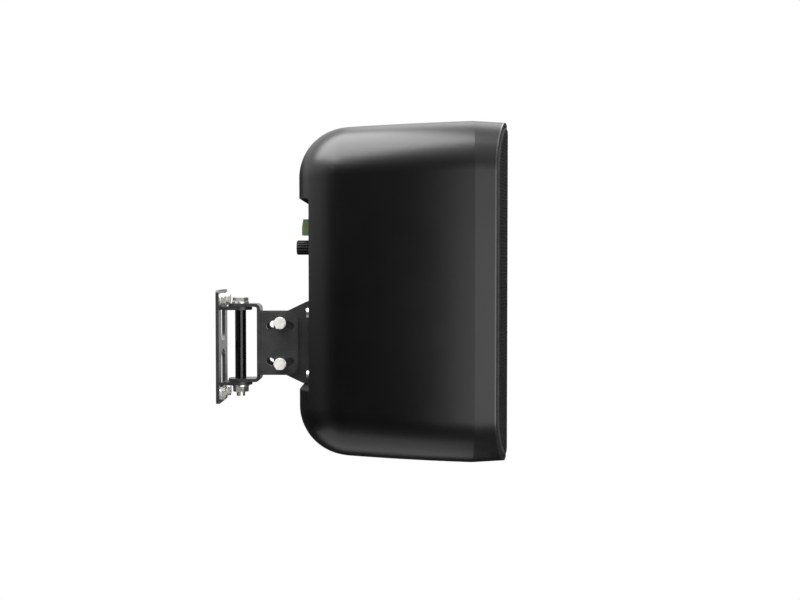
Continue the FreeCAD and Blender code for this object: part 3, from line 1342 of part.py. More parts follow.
def woofer_motor():
    """Front plate, ring magnet, and the yoke with its pole."""
    gap = f"({FORMER} + coil_winding + pole_gap)"
    plate = [
        (gap, "-basket_depth"),
        ("magnet_radius", "-basket_depth"),
        ("magnet_radius", f"-{PLATE_BACK}"),
        (gap, f"-{PLATE_BACK}"),
    ]
    magnet = [
        ("magnet_bore", f"-{PLATE_BACK}"),
        ("magnet_radius", f"-{PLATE_BACK}"),
        ("magnet_radius", f"-{MAGNET_BACK}"),
        ("magnet_bore", f"-{MAGNET_BACK}"),
    ]
    pole = "(coil_radius - pole_gap)"
    yoke = [
        ("0", "-basket_depth"),
        (pole, "-basket_depth"),
        (pole, f"-{MAGNET_BACK}"),
        ("magnet_radius", f"-{MAGNET_BACK}"),
        ("magnet_radius", f"-{MAGNET_BACK} - yoke_thick"),
        ("0", f"-{MAGNET_BACK} - yoke_thick"),
    ]
    return [
        woofer("woofer_top_plate", plate),
        woofer("woofer_magnet", magnet),
        woofer("woofer_yoke", yoke),
    ]


# Tweeter, from the baffle's face along its own axis

TWEETER_PLATE_BACK = "(guide_depth + tweeter_plate_thick)"
TWEETER_MAGNET_BACK = f"({TWEETER_PLATE_BACK} + tweeter_magnet_thick)"


def tweeter(name, outline):
    return turned(name, outline, (BAFFLE_X, "0", TWEETER_Z))


def tweeter_pieces():
    """Waveguide, dome, front plate, magnet and back plate with its pole."""
    shoulder = "(guide_shoulder - guide_depth)"
    guide = tweeter(
        "tweeter_waveguide",
        [
            ("guide_radius", "0"),
            ("guide_radius", "guide_flange"),
            ("guide_mouth", "guide_flange"),
            ("guide_throat", "dome_rise - guide_depth", "guide_curve", -1),
            ("guide_throat", "-guide_depth"),
            ("guide_foot", "-guide_depth"),
            ("guide_foot", shoulder),
            ("guide_mouth", "0"),
        ],
    )
    flange_holes(guide, "tweeter_screw", "guide_flange")
    seat = (f"{BAFFLE_X} - guide_depth", "0", TWEETER_Z)
    tweeter_dome = dome("tweeter_dome", "dome_radius", "dome_rise", "dome_thick", seat)
    plate = tweeter(
        "tweeter_top_plate",
        [
            ("tweeter_plate_bore", "-guide_depth"),
            ("guide_foot", "-guide_depth"),
            ("guide_foot", f"-{TWEETER_PLATE_BACK}"),
            ("tweeter_plate_bore", f"-{TWEETER_PLATE_BACK}"),
        ],
    )
    magnet = tweeter(
        "tweeter_magnet",
        [
            ("tweeter_magnet_bore", f"-{TWEETER_PLATE_BACK}"),
            ("tweeter_magnet_radius", f"-{TWEETER_PLATE_BACK}"),
            ("tweeter_magnet_radius", f"-{TWEETER_MAGNET_BACK}"),
            ("tweeter_magnet_bore", f"-{TWEETER_MAGNET_BACK}"),
        ],
    )
    back = tweeter(
        "tweeter_back_plate",
        [
            ("0", "-guide_depth"),
            ("tweeter_pole", "-guide_depth"),
            ("tweeter_pole", f"-{TWEETER_MAGNET_BACK}"),
            ("guide_foot", f"-{TWEETER_MAGNET_BACK}"),
            ("guide_foot", f"-{TWEETER_MAGNET_BACK} - tweeter_cup_thick"),
            ("0", f"-{TWEETER_MAGNET_BACK} - tweeter_cup_thick"),
        ],
    )
    return [guide, tweeter_dome, plate, magnet, back]


# Input panel, tap switch and terminal block

PLUG_WIDTH = "(plug_poles * plug_pitch)"
PLUG_BACK = f"({RECESS_X} - plug_out)"
PLUG_FRONT = f"({RECESS_X} + plug_in)"
PANEL_INNER = f"({RECESS_X} + panel_thick)"
SHAFT_HOLE = "shaft_size / 2 + shaft_clearance"
KNOB_BACK = f"({RECESS_X} - knob_gap - knob_length)"
KNOB_BORE_END = f"({RECESS_X} - knob_gap - knob_bore_depth)"


def terminal_places():
    """Y of each terminal."""
    poles = int(value("plug_poles"))
    return [f"({number} - (plug_poles - 1) / 2) * plug_pitch" for number in range(poles)]


def wide_block(name, start, length, width, height, z):
    """A block along X about the middle plane, at a height."""
    at = (start, f"-({width}) / 2", f"{z} - ({height}) / 2")
    return block(name, (length, width, height), at)


def input_panel():
    """A flush panel with openings for the terminal plug and the switch shaft, and sunk screws."""
    sheet_blank = wide_block("panel_blank", RECESS_X, "panel_thick", "panel_width", "panel_height", PANEL_Z)
    opening = (f"{PLUG_WIDTH} + 2 * plug_clearance", "plug_height + 2 * plug_clearance")
    tools = [
        wide_block("plug_opening", RECESS_X, "panel_thick", opening[0], opening[1], PLUG_Z),
        rod("shaft_opening", SHAFT_HOLE, "panel_thick", (RECESS_X, "0", KNOB_Z), TO_X),
    ]
    screws = []
    seat_x = f"{RECESS_X} + panel_screw_rise"
    for number, (y, z_offset) in enumerate(PANEL_SCREWS):
        z = f"{PANEL_Z} + {z_offset}"
        sink = "panel_screw_head / 2 + joint_clearance"
        hole = "panel_screw / 2 + joint_clearance"
        tools.append(rod(f"panel_sink_{number}", sink, "panel_screw_rise", (RECESS_X, y, z), TO_X))
        tools.append(rod(f"panel_hole_{number}", hole, "panel_thick", (RECESS_X, y, z), TO_X))
        screws.append(
            screw(
                f"panel_screw_{number}",
                "panel_screw_head",
                "panel_screw_rise",
                "panel_screw",
                "panel_screw_length",
                (seat_x, y, z),
                TO_X,
            )
        )
    return [cut("input_panel", sheet_blank, tools), group("input_panel_screws", screws)]


def tap_switch():
    """The switch behind the panel, with its shaft through it."""
    case = wide_block("switch_case", PANEL_INNER, "switch_depth", "switch_size", "switch_size", KNOB_Z)
    end = f"({KNOB_BORE_END} + knob_gap)"
    shaft = rod("switch_shaft", "shaft_size / 2", f"{PANEL_INNER} + switch_depth - {end}", (end, "0", KNOB_Z), TO_X)
    return fuse("tap_switch", [case, shaft])


def tap_knob():
    """A fluted knob with a rounded end, a pointer groove and a bore for the shaft."""
    radius = "knob_size / 2"
    body = turned(
        "knob_blank",
        [
            ("0", "0"),
            (f"{radius} - knob_edge", "0"),
            (radius, "knob_edge", "knob_edge", -1),
            (radius, "knob_length"),
            (SHAFT_HOLE, "knob_length"),
            (SHAFT_HOLE, "knob_length - knob_bore_depth"),
            ("0", "knob_length - knob_bore_depth"),
        ],
        (KNOB_BACK, "0", KNOB_Z),
    )
    groove = ("knob_pointer_depth", "knob_pointer", "knob_size")
    tools = [block("knob_groove", groove, (KNOB_BACK, "-knob_pointer / 2", KNOB_Z))]
    flutes = int(value("knob_flutes"))
    for number in range(flutes):
        angle = 360 / flutes * (number + 0.5)
        at = (KNOB_BACK, f"{radius} * cos({angle})", f"{KNOB_Z} + {radius} * sin({angle})")
        tools.append(rod(f"knob_flute_{number}", "knob_flute", "knob_length", at, TO_X))
    return cut("tap_knob", body, tools)


def connector_header():
    """A socket behind the panel, with the pins that enter the plug."""
    inner_width = f"({PLUG_WIDTH} + 2 * plug_clearance)"
    inner_height = "(plug_height + 2 * plug_clearance)"
    floor = f"({PLUG_FRONT} + plug_clearance)"
    outer_width = f"{inner_width} + 2 * header_wall"
    outer_height = f"{inner_height} + 2 * header_wall"
    length = f"{floor} + header_depth - {PANEL_INNER}"
    shell = wide_block("header_shell", PANEL_INNER, length, outer_width, outer_height, PLUG_Z)
    space = wide_block("header_space", PANEL_INNER, f"{floor} - {PANEL_INNER}", inner_width, inner_height, PLUG_Z)
    pins = []
    for number, y in enumerate(terminal_places()):
        size = ("pin_length", "pin_size", "pin_size")
        at = (f"{floor} - pin_length", f"{y} - pin_size / 2", f"{PLUG_Z} - pin_size / 2")
        pins.append(block(f"header_pin_{number}", size, at))
    return [cut("connector_header", shell, [space]), group("header_pins", pins)]


def connector_plug():
    """The terminal plug, with a leaning back, wire entries, pin holes and terminal screws."""
    body = new_body("plug_blank", (PLUG_BACK, "0", PLUG_Z))
    length = "(plug_out + plug_in)"
    outline = [
        ("0", "-plug_height / 2"),
        (length, "-plug_height / 2"),
        (length, "plug_height / 2"),
        ("plug_bevel", "plug_height / 2"),
        ("0", "plug_height / 2 - plug_bevel_drop"),
    ]
    padded(body, "plug_solid", "XZ_Plane", outline, PLUG_WIDTH)
    tools = []
    screws = []
    screw_x = f"{RECESS_X} - plug_screw_reach"
    for number, y in enumerate(terminal_places()):
        entry_at = (PLUG_BACK, y, f"{PLUG_Z} - plug_entry_drop")
        tools.append(rod(f"plug_entry_{number}", "plug_entry / 2", "plug_entry_depth", entry_at, TO_X))
        hole_length = "(pin_length + 2 * plug_clearance)"
        hole_at = (f"{PLUG_FRONT} - {hole_length}", f"{y} - pin_hole / 2", f"{PLUG_Z} - pin_hole / 2")
        tools.append(block(f"plug_pin_hole_{number}", (hole_length, "pin_hole", "pin_hole"), hole_at))
        sunk = "(plug_screw_length + plug_screw_sink)"
        low = f"{PLUG_Z} + plug_height / 2 - {sunk}"
        tools.append(rod(f"plug_screw_hole_{number}", "plug_screw / 2 + shaft_clearance", sunk, (screw_x, y, low)))
        screws.append(rod(f"plug_screw_{number}", "plug_screw / 2", "plug_screw_length", (screw_x, y, low)))
    return [cut("connector_plug", body, tools), group("plug_screws", screws)]


# Line transformer on the cabinet's back wall

CORE_X = f"({INNER_X} + coil_overhang)"


def transformer():
    """A laminated core with two windows, its winding, two bracket straps and their screws."""
    blank = wide_block("core_blank", CORE_X, "core_depth", "core_width", "core_height", "tilt_rise")
    windows = []
    for number, side in enumerate((-1, 1)):
        middle = f"{side} * (core_leg + core_window) / 2"
        at = (CORE_X, f"{middle} - core_window / 2", "tilt_rise - core_window_height / 2")
        windows.append(block(f"core_window_{number}", ("core_depth", "core_window", "core_window_height"), at))
    core = cut("transformer_core", blank, windows)
    start = f"{INNER_X} + joint_clearance"
    length = "core_depth + 2 * coil_overhang - 2 * joint_clearance"
    width = "core_leg + 2 * core_window - 2 * joint_clearance"
    height = "core_window_height - 2 * joint_clearance"
    coil = wide_block("winding_blank", start, length, width, height, "tilt_rise")
    leg_length = "core_depth + 2 * joint_clearance"
    leg_width = "core_leg + 2 * joint_clearance"
    leg = wide_block("winding_bore", f"{CORE_X} - joint_clearance", leg_length, leg_width, "core_height", "tilt_rise")
    winding = cut("transformer_winding", coil, [leg])
    straps = []
    screws = []
    low = "tilt_rise - strap_width / 2"
    for number, side in enumerate((-1, 1)):
        side_y = "core_width / 2" if side > 0 else "-core_width / 2 - strap_thick"
        foot_y = "core_width / 2" if side > 0 else "-core_width / 2 - strap_thick - strap_foot"
        wall = block(
            f"strap_{number}_wall", ("coil_overhang + core_depth", "strap_thick", "strap_width"), (INNER_X, side_y, low)
        )
        foot = block(
            f"strap_{number}_foot", ("strap_thick", "strap_thick + strap_foot", "strap_width"), (INNER_X, foot_y, low)
        )
        screw_y = f"{side} * {FOOT_SCREW_Y}"
        hole = rod(
            f"strap_{number}_hole",
            "small_screw / 2 + joint_clearance",
            "strap_thick",
            (INNER_X, screw_y, "tilt_rise"),
            TO_X,
        )
        straps.append(cut(f"strap_{number}", fuse(f"strap_{number}_blank", [wall, foot]), [hole]))
        screws.append(
            screw(
                f"transformer_screw_{number}",
                "small_screw_head",
                "small_screw_rise",
                "small_screw",
                "foot_screw_length",
                (f"{INNER_X} + strap_thick", screw_y, "tilt_rise"),
                TO_BACK,
            )
        )
    return [core, winding, group("transformer_bracket", straps), group("transformer_screws", screws)]


# Crossover board

BOARD_FRONT = f"({BOARD_X} + board_thick)"


def crossover():
    """The board on its posts, with inductors, capacitors and resistors on its front."""
    blank = wide_block("board_blank", BOARD_X, "board_thick", "board_width", "board_height", BOARD_Z)
    holes = []
    screws = []
    for number, (y, z_offset) in enumerate(BOARD_SCREWS):
        z = f"{BOARD_Z} + {z_offset}"
        hole = "small_screw / 2 + joint_clearance"
        holes.append(rod(f"board_hole_{number}", hole, "board_thick", (BOARD_X, y, z), TO_X))
        screws.append(
            screw(
                f"board_screw_{number}",
                "small_screw_head",
                "small_screw_rise",
                "small_screw",
                "small_screw_length",
                (BOARD_FRONT, y, z),
                TO_BACK,
            )
        )
    core = "(inductor_radius - inductor_flange)"
    spool = [
        ("inductor_bore", "0"),
        ("inductor_radius", "0"),
        ("inductor_radius", "inductor_flange"),
        (core, "inductor_flange"),
        (core, "inductor_height - inductor_flange"),
        ("inductor_radius", "inductor_height - inductor_flange"),
        ("inductor_radius", "inductor_height"),
        ("inductor_bore", "inductor_height"),
    ]
    inductors = [
        turned(f"inductor_{number}", spool, (BOARD_FRONT, f"{side} * inductor_offset", BOARD_Z))
        for number, side in enumerate((-1, 1))
    ]
    capacitors = []
    resistors = []
    for number in range(2):
        capacitor_at = (
            f"{BOARD_FRONT} + capacitor_radius",
            f"capacitor_first + {number} * capacitor_pitch",
            f"{BOARD_Z} - capacitor_length / 2",
        )
        capacitors.append(rod(f"capacitor_{number}", "capacitor_radius", "capacitor_length", capacitor_at))
        resistor_at = (
            BOARD_FRONT,
            f"resistor_first + {number} * resistor_pitch - resistor_size / 2",
            f"{BOARD_Z} - resistor_length / 2",
        )
        size = ("resistor_size", "resistor_size", "resistor_length")
        resistors.append(block(f"resistor_{number}", size, resistor_at))
    return [
        cut("crossover_board", blank, holes),
        group("board_screws", screws),
        group("inductors", inductors),
        group("capacitors", capacitors),
        group("resistors", resistors),
    ]


# Build, check and export

items = [wall_plate()]
items += wall_nuts()
items += pan_pivot()
items.append(swivel_bracket())
items.append(speaker_bracket("left_speaker_bracket", 1))
items.append(speaker_bracket("right_speaker_bracket", -1))
items += tilt_fasteners()
items += bracket_fixings()
items += [rear_cabinet(), cabinet_gasket(), front_baffle(), baffle_screws(), grille(), port_tubes()]
items.append(woofer_basket())
items += woofer_suspension()
items += woofer_moving_parts()
items += woofer_motor()
items.append(driver_screws("woofer_screw", "woofer_flange_thick"))
items += tweeter_pieces()
items.append(driver_screws("tweeter_screw", "guide_flange"))
items += input_panel()
items += [tap_switch(), tap_knob()]
items += connector_header()
items += connector_plug()
items += transformer()
items += crossover()
doc.recompute()

for item in doc.Objects:
    if "Invalid" in item.State or "Error" in item.State:
        raise RuntimeError(f"{item.Name} did not recompute: {item.State}")
for item in items:
    if item.Shape.isNull() or not item.Shape.isValid():
        raise RuntimeError(f"{item.Label} has no valid shape")

os.makedirs("parts", exist_ok=True)
for item in items:
    item.Shape.exportStep(f"parts/{item.Label}.step")
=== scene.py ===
"""Dresses a packed wall loudspeaker: finishes, a perforated grille and a white studio."""

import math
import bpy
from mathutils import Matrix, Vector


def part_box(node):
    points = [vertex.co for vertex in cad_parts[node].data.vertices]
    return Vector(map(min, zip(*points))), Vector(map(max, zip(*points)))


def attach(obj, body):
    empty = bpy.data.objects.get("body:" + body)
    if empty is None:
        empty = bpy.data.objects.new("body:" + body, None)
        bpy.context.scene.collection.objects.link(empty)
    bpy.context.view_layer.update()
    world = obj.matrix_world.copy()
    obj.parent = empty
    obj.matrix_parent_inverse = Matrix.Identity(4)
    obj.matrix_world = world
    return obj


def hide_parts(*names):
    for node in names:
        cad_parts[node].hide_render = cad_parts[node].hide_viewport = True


bl_info = {
    "name": "Installation speaker",
    "version": (1, 0, 0),
    "blender": (4, 5, 0),
    "location": "View3D > Sidebar > Speaker",
    "description": "Finishes, perforated grille, fasteners and studio for a wall loudspeaker",
    "category": "Object",
}

import bmesh
import bpy
from mathutils import Vector

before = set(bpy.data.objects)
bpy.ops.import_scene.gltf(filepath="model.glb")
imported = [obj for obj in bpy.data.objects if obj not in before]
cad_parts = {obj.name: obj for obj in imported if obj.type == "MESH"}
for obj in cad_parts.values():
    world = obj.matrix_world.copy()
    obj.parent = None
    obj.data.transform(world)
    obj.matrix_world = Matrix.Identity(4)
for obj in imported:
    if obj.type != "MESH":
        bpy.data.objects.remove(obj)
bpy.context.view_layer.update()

# Node trees


class Wire:
    """An output socket with arithmetic. Each operator adds one Math node to the socket's tree."""

    def __init__(self, nodes, socket):
        self.nodes = nodes
        self.socket = socket

    def _math(self, operation, *values):
        return self.nodes.add("ShaderNodeMath", {"operation": operation}, dict(enumerate(values)))[0]

    def __add__(self, other):
        return self._math("ADD", self, other)

    def __radd__(self, other):
        return self._math("ADD", other, self)

    def __sub__(self, other):
        return self._math("SUBTRACT", self, other)

    def __rsub__(self, other):
        return self._math("SUBTRACT", other, self)

    def __mul__(self, other):
        return self._math("MULTIPLY", self, other)

    def __rmul__(self, other):
        return self._math("MULTIPLY", other, self)

    def __truediv__(self, other):
        return self._math("DIVIDE", self, other)

    def __mod__(self, other):
        return self._math("FLOORED_MODULO", self, other)

    def __abs__(self):
        return self._math("ABSOLUTE", self)

    def floor(self):
        return self._math("FLOOR", self)

    def root(self):
        return self._math("SQRT", self)

    def sine(self):
        return self._math("SINE", self)

    def above(self, other):
        return self._math("GREATER_THAN", self, other)

    def at_least(self, other):
        return self._math("MAXIMUM", self, other)


class Made:
    """A node that has been added, whose outputs are read by name or number."""

    def __init__(self, nodes, node):
        self.nodes = nodes
        self.node = node

    def __getitem__(self, key):
        return Wire(self.nodes, self.node.outputs[key])


class Nodes:
    """A node tree that is written from Python."""

    def __init__(self, tree):
        self.tree = tree

    def add(self, kind, settings=None, inputs=None):
        """Adds a node, makes its settings and then gives its sockets values or links."""
        node = self.tree.nodes.new(kind)
        for name, value in (settings or {}).items():
            setattr(node, name, value)
        for key, value in (inputs or {}).items():
            self.feed(node.inputs[key], value)
        return Made(self, node)

    def feed(self, socket, value):
        if isinstance(value, Wire):
            self.tree.links.new(value.socket, socket)
        else:
            socket.default_value = value

    def vector(self, x=0.0, y=0.0, z=0.0):
        return self.add("ShaderNodeCombineXYZ", {}, {"X": x, "Y": y, "Z": z})["Vector"]

    def parts(self, vector):
        """The X, Y and Z of a vector."""
        split = self.add("ShaderNodeSeparateXYZ", {}, {"Vector": vector})
        return split["X"], split["Y"], split["Z"]

    def mix(self, factor, first, second):
        """A colour between two colours."""
        settings = {"data_type": "RGBA", "blend_type": "MIX"}
        return self.add("ShaderNodeMix", settings, {0: factor, 6: first, 7: second})[2]

    def smooth(self, value, low, high):
        """0 below the low value, 1 above the high one, and an even ease between them."""
        settings = {"interpolation_type": "SMOOTHSTEP"}
        return self.add("ShaderNodeMapRange", settings, {0: value, 1: low, 2: high})[0]


class Paint(Nodes):
    """One material: a Principled shader whose changing sockets are fed from object coordinates."""

    def __init__(self, name, colour, roughness, specular=0.5, metallic=0.0):
        self.material = bpy.data.materials.new(name)
        self.material.use_nodes = True
        super().__init__(self.material.node_tree)
        self.tree.nodes.clear()
        self.colour = colour
        self.shader = self.add("ShaderNodeBsdfPrincipled").node
        self.set("Base Color", self.shade(1.0))
        self.set("Roughness", roughness)
        self.set("Specular IOR Level", specular)
        self.set("Metallic", metallic)
        self.add("ShaderNodeOutputMaterial", {}, {"Surface": Wire(self, self.shader.outputs[0])})
        self.place = self.add("ShaderNodeTexCoord")["Object"]

    def set(self, socket, value):
        self.feed(self.shader.inputs[socket], value)

    def noise(self, size, detail=3.0, roughness=0.55, stretch=None):
        """Noise whose features are about the given size in metres."""
        place = self.place
        if stretch:
            place = self.add("ShaderNodeMapping", {}, {"Vector": place, "Scale": stretch})["Vector"]
        inputs = {"Vector": place, "Scale": 1.0 / size, "Detail": detail, "Roughness": roughness}
        return self.add("ShaderNodeTexNoise", {}, inputs)["Fac"]

    def cells(self, size):
        """Distance to the nearest of scattered points, which lie about the given size apart."""
        return self.add("ShaderNodeTexVoronoi", {}, {"Vector": self.place, "Scale": 1.0 / size})["Distance"]

    def inside(self, low, high):
        """1 inside a box, given as its low and high corners, and 0 outside it."""
        within = 1.0
        for place, least, most in zip(self.parts(self.place), low, high):
            within = place.above(least) * (most - place).above(0.0) * within
        return within

    def beyond(self, axis, radius):
        """1 further than a radius from an upright axis, which crosses the X axis, and 0 nearer to it."""
        across, along, _ = self.parts(self.place)
        across = across - axis
        return (across * across + along * along).root().above(radius)

    def shade(self, level):
        """A multiple of the paint's own colour."""
        return tuple(min(channel * level, 1.0) for channel in self.colour) + (1.0,)

    def tint(self, factor, dark, light):
        """Base colour that runs between two multiples of the paint's own colour."""
        self.set("Base Color", self.mix(factor, self.shade(dark), self.shade(light)))

    def mottle(self, pattern, low, high, dark, light):
        """Base colour in patches, with an even ease while the pattern goes from low to high."""
        self.tint(self.smooth(pattern, low, high), dark, light)

    def bump(self, height, depth, strength):
        """Relief of a depth in metres."""
        inputs = {"Height": height, "Distance": depth, "Strength": strength}
        self.set("Normal", self.add("ShaderNodeBump", {}, inputs)["Normal"])


# Finishes

FULL_TURN = 2 * math.pi
MATT = 0.95


def moulded_plastic(name, colour, grain, roughness=0.3, matt_box=None, lip=None):
    """Satin moulded plastic: a fine spark-eroded grain and faint flow marks.

    It is matt inside the box, given as two corners, and glossy past the lip, given as an axis and a radius.
    """
    paint = Paint(name, colour, roughness)
    flow = paint.noise(size=0.06, detail=2.0)
    fine = paint.noise(size=grain, detail=2.0)
    paint.mottle(flow, low=0.3, high=0.7, dark=0.88, light=1.12)
    sheen = roughness - 0.05 + flow * 0.07 + fine * 0.05
    if matt_box:
        sheen = sheen.at_least(paint.inside(*matt_box) * MATT)
    paint.set("Roughness", sheen)
    if lip:
        paint.set("Coat Weight", paint.beyond(*lip))
        paint.set("Coat Roughness", roughness)
    paint.bump(fine, depth=grain * 0.12, strength=0.5)
    return paint.material


def powder_coat(name, colour, roughness=0.28, specular=0.5):
    """Baked powder paint: a soft orange-peel skin with a few duller specks."""
    paint = Paint(name, colour, roughness, specular)
    peel = paint.noise(size=0.0012, detail=1.0)
    specks = paint.noise(size=0.0004, detail=2.0)
    rubbed = paint.noise(size=0.018)
    paint.mottle(rubbed, low=0.35, high=0.65, dark=0.85, light=1.15)
    paint.set("Roughness", roughness - 0.06 + peel * 0.08 + specks * 0.06)
    paint.bump(peel, depth=0.0001, strength=0.5)
    return paint.material


def plated_steel(name, colour, roughness=0.5, metallic=0.3):
    """Zinc plate with cloudy passivation and fine turning marks."""
    paint = Paint(name, colour, roughness, metallic=metallic)
    cloud = paint.noise(size=0.004)
    marks = paint.noise(size=0.0006, detail=2.0, stretch=(1.0, 6.0, 6.0))
    paint.mottle(cloud, low=0.3, high=0.7, dark=0.86, light=1.08)
    paint.set("Roughness", roughness - 0.08 + cloud * 0.12 + marks * 0.06)
    paint.bump(marks, depth=0.00002, strength=0.15)
    return paint.material


def bare_steel(name, colour, roughness=0.4):
    """Turned or stamped steel with a grained surface."""
    paint = Paint(name, colour, roughness, metallic=1.0)
    grain = paint.noise(size=0.0009, detail=4.0, stretch=(5.0, 1.0, 1.0))
    stain = paint.noise(size=0.012)
    paint.mottle(stain, low=0.35, high=0.7, dark=0.8, light=1.05)
    paint.set("Roughness", roughness - 0.06 + grain * 0.14)
    paint.bump(grain, depth=0.00003, strength=0.4)
    return paint.material


def rubber(name, colour):
    """Moulded rubber with a pale bloom."""
    paint = Paint(name, colour, roughness=0.7, specular=0.35)
    bloom = paint.noise(size=0.008, detail=4.0)
    skin = paint.noise(size=0.0006, detail=2.0)
    paint.mottle(bloom, low=0.4, high=0.7, dark=0.85, light=1.3)
    paint.set("Roughness", 0.62 + bloom * 0.16)
    paint.bump(skin, depth=0.00005, strength=0.4)
    return paint.material


def pressed_pulp(name, colour):
    """Cone paper: short matted fibres under a thin coat."""
    paint = Paint(name, colour, roughness=0.75, specular=0.3)
    fibres = paint.noise(size=0.0011, detail=6.0, roughness=0.7)
    clumps = paint.noise(size=0.005)
    paint.mottle(fibres, low=0.4, high=0.7, dark=0.75, light=1.4)
    paint.set("Roughness", 0.65 + clumps * 0.2)
    paint.bump(fibres, depth=0.00012, strength=0.6)
    return paint.material


def woven_cloth(name, colour, thread):
    """Plain weave, from two crossed waves."""
    paint = Paint(name, colour, roughness=0.8, specular=0.25)
    _, along, up = paint.parts(paint.place)
    turns = FULL_TURN / thread
    warp = (along * turns).sine()
    weft = (up * turns).sine()
    weave = (warp * weft + 1.0) * 0.5
    paint.tint(weave, dark=0.7, light=1.2)
    paint.set("Roughness", 0.7 + paint.noise(size=0.004) * 0.15)
    paint.bump(weave, depth=thread * 0.15, strength=0.6)
    return paint.material


def wound_wire(name, colour, wire):
    """Enamelled wire, laid in turns along X."""
    paint = Paint(name, colour, roughness=0.3, metallic=1.0)
    across, _, _ = paint.parts(paint.place)
    turns = ((across * (FULL_TURN / wire)).sine() + 1.0) * 0.5
    paint.tint(turns, dark=0.55, light=1.1)
    paint.set("Roughness", 0.36 - turns * 0.12 + paint.noise(size=0.002) * 0.06)
    paint.bump(turns, depth=wire * 0.3, strength=0.7)
    return paint.material


def sintered_ceramic(name, colour):
    """Ferrite or cement: a fine grain over faint chips."""
    paint = Paint(name, colour, roughness=0.6, specular=0.4)
    grain = paint.noise(size=0.0005, detail=4.0)
    chips = paint.cells(size=0.004)
    paint.mottle(grain, low=0.3, high=0.75, dark=0.75, light=1.3)
    paint.set("Roughness", 0.5 + grain * 0.2)
    paint.bump(chips, depth=0.0001, strength=0.3)
    return paint.material


def circuit_laminate(name, colour):
    """Solder mask over copper tracks, which run in steps across the board."""
    track_pitch = 0.0042
    step = 0.0012
    paint = Paint(name, colour, roughness=0.3)
    _, _, up = paint.parts(paint.place)
    bend = (paint.noise(size=0.03, detail=0.0) * 6.0).floor() * step
    lines = ((up + bend) * (FULL_TURN / track_pitch)).sine()
    track = paint.smooth(lines, low=0.35, high=0.5)
    paint.tint(track, dark=0.8, light=1.5)
    paint.set("Roughness", 0.34 - track * 0.08 + paint.noise(size=0.001) * 0.04)
    paint.bump(track, depth=0.00004, strength=0.6)
    return paint.material


def dipped_film(name, colour):
    """A capacitor's dipped coat, with slow swirls."""
    paint = Paint(name, colour, roughness=0.25)
    swirl = paint.noise(size=0.003)
    paint.mottle(swirl, low=0.3, high=0.7, dark=0.8, light=1.15)
    paint.set("Roughness", 0.2 + swirl * 0.12)
    paint.bump(swirl, depth=0.0001, strength=0.3)
    return paint.material


def machined_brass(name, colour):
    """Turned brass with fine marks."""
    paint = Paint(name, colour, roughness=0.3, metallic=1.0)
    marks = paint.noise(size=0.0008, stretch=(4.0, 1.0, 1.0))
    paint.mottle(marks, low=0.3, high=0.7, dark=0.8, light=1.1)
    paint.set("Roughness", 0.24 + marks * 0.14)
    paint.bump(marks, depth=0.00004, strength=0.5)
    return paint.material


# Colours that aren't settings

BLACK = (0.02, 0.02, 0.02)
GRILLE_BLACK = (0.013, 0.013, 0.0133)
RIM_BLACK = (0.05, 0.05, 0.051)
PORT_BLACK = (0.018, 0.018, 0.018)
BASKET_BLACK = (0.025, 0.025, 0.026)
RUBBER_BLACK = (0.02, 0.02, 0.021)
PULP_BLACK = (0.03, 0.029, 0.028)
SILK_BLACK = (0.03, 0.03, 0.032)
INNER_BLACK = (0.03, 0.03, 0.03)
FERRITE_GREY = (0.05, 0.05, 0.054)
CORE_GREY = (0.2, 0.19, 0.18)
MOTOR_STEEL = (0.5, 0.5, 0.51)
TERMINAL_ZINC = (0.75, 0.73, 0.68)
INSERT_BRASS = (0.62, 0.45, 0.2)
PIN_BRASS = (0.66, 0.5, 0.24)
COIL_COPPER = (0.5, 0.22, 0.09)
WINDING_COPPER = (0.5, 0.2, 0.08)
INDUCTOR_COPPER = (0.55, 0.24, 0.1)
SPIDER_TAN = (0.38, 0.26, 0.12)
MASK_GREEN = (0.03, 0.09, 0.035)
FILM_RED = (0.4, 0.1, 0.04)
CEMENT_WHITE = (0.6, 0.58, 0.52)

# Settings that a user would change


def colour_setting(name, description, default):
    return bpy.props.FloatVectorProperty(
        name=name, description=description, subtype="COLOR", default=default
    )


def length_setting(name, description, default):
    return bpy.props.FloatProperty(
        name=name, description=description, unit="LENGTH", default=default, precision=5
    )


def number_setting(name, description, default, subtype="NONE"):
    return bpy.props.FloatProperty(name=name, description=description, subtype=subtype, default=default)


class SpeakerFinish(bpy.types.PropertyGroup):
    cabinet: colour_setting("Cabinet", "Colour of the moulded cabinet", (0.0016, 0.0016, 0.0017))
    bracket: colour_setting("Bracket", "Colour of the bracket's powder paint", (0.039, 0.039, 0.04))
    plate: colour_setting("Fasteners", "Colour of the zinc plate", (0.97, 0.95, 0.89))
    plug: colour_setting("Terminal plug", "Colour of the terminal plug", (0.15, 0.225, 0.1))
    grain: length_setting("Moulding grain", "Size of the cabinet's grain", 0.0006)


class SpeakerGrille(bpy.types.PropertyGroup):
    pitch: length_setting("Pitch", "Spacing of the openings", 0.0034)
    opening: number_setting("Opening", "Share of a cell that is open, across flats", 0.66, "FACTOR")
    sheet: length_setting("Sheet", "Thickness of the sheet", 0.0006)
    border: length_setting("Border", "Outline to the openings", 0.0028)
    fold: length_setting("Fold", "Radius of the folded edge", 0.001)
    corner: length_setting("Corner", "Corner radius of the outline", 0.041)
    crown: length_setting("Crown", "Radius of the sheet's curve", 0.308)
    proud: length_setting("Proud", "Sheet's face to the bezel's lip", 0.001)
    edge: length_setting("Edge", "Glossy edge of the bezel's lip", 0.0012)
    lean: length_setting("Lean", "How far the folded edge leans in", 0.00046)
    tuck: length_setting("Tuck", "Rim below the sheet's face", 0.0001)
    lap: length_setting("Lap", "Rim's overlap with the sheet", 0.003)


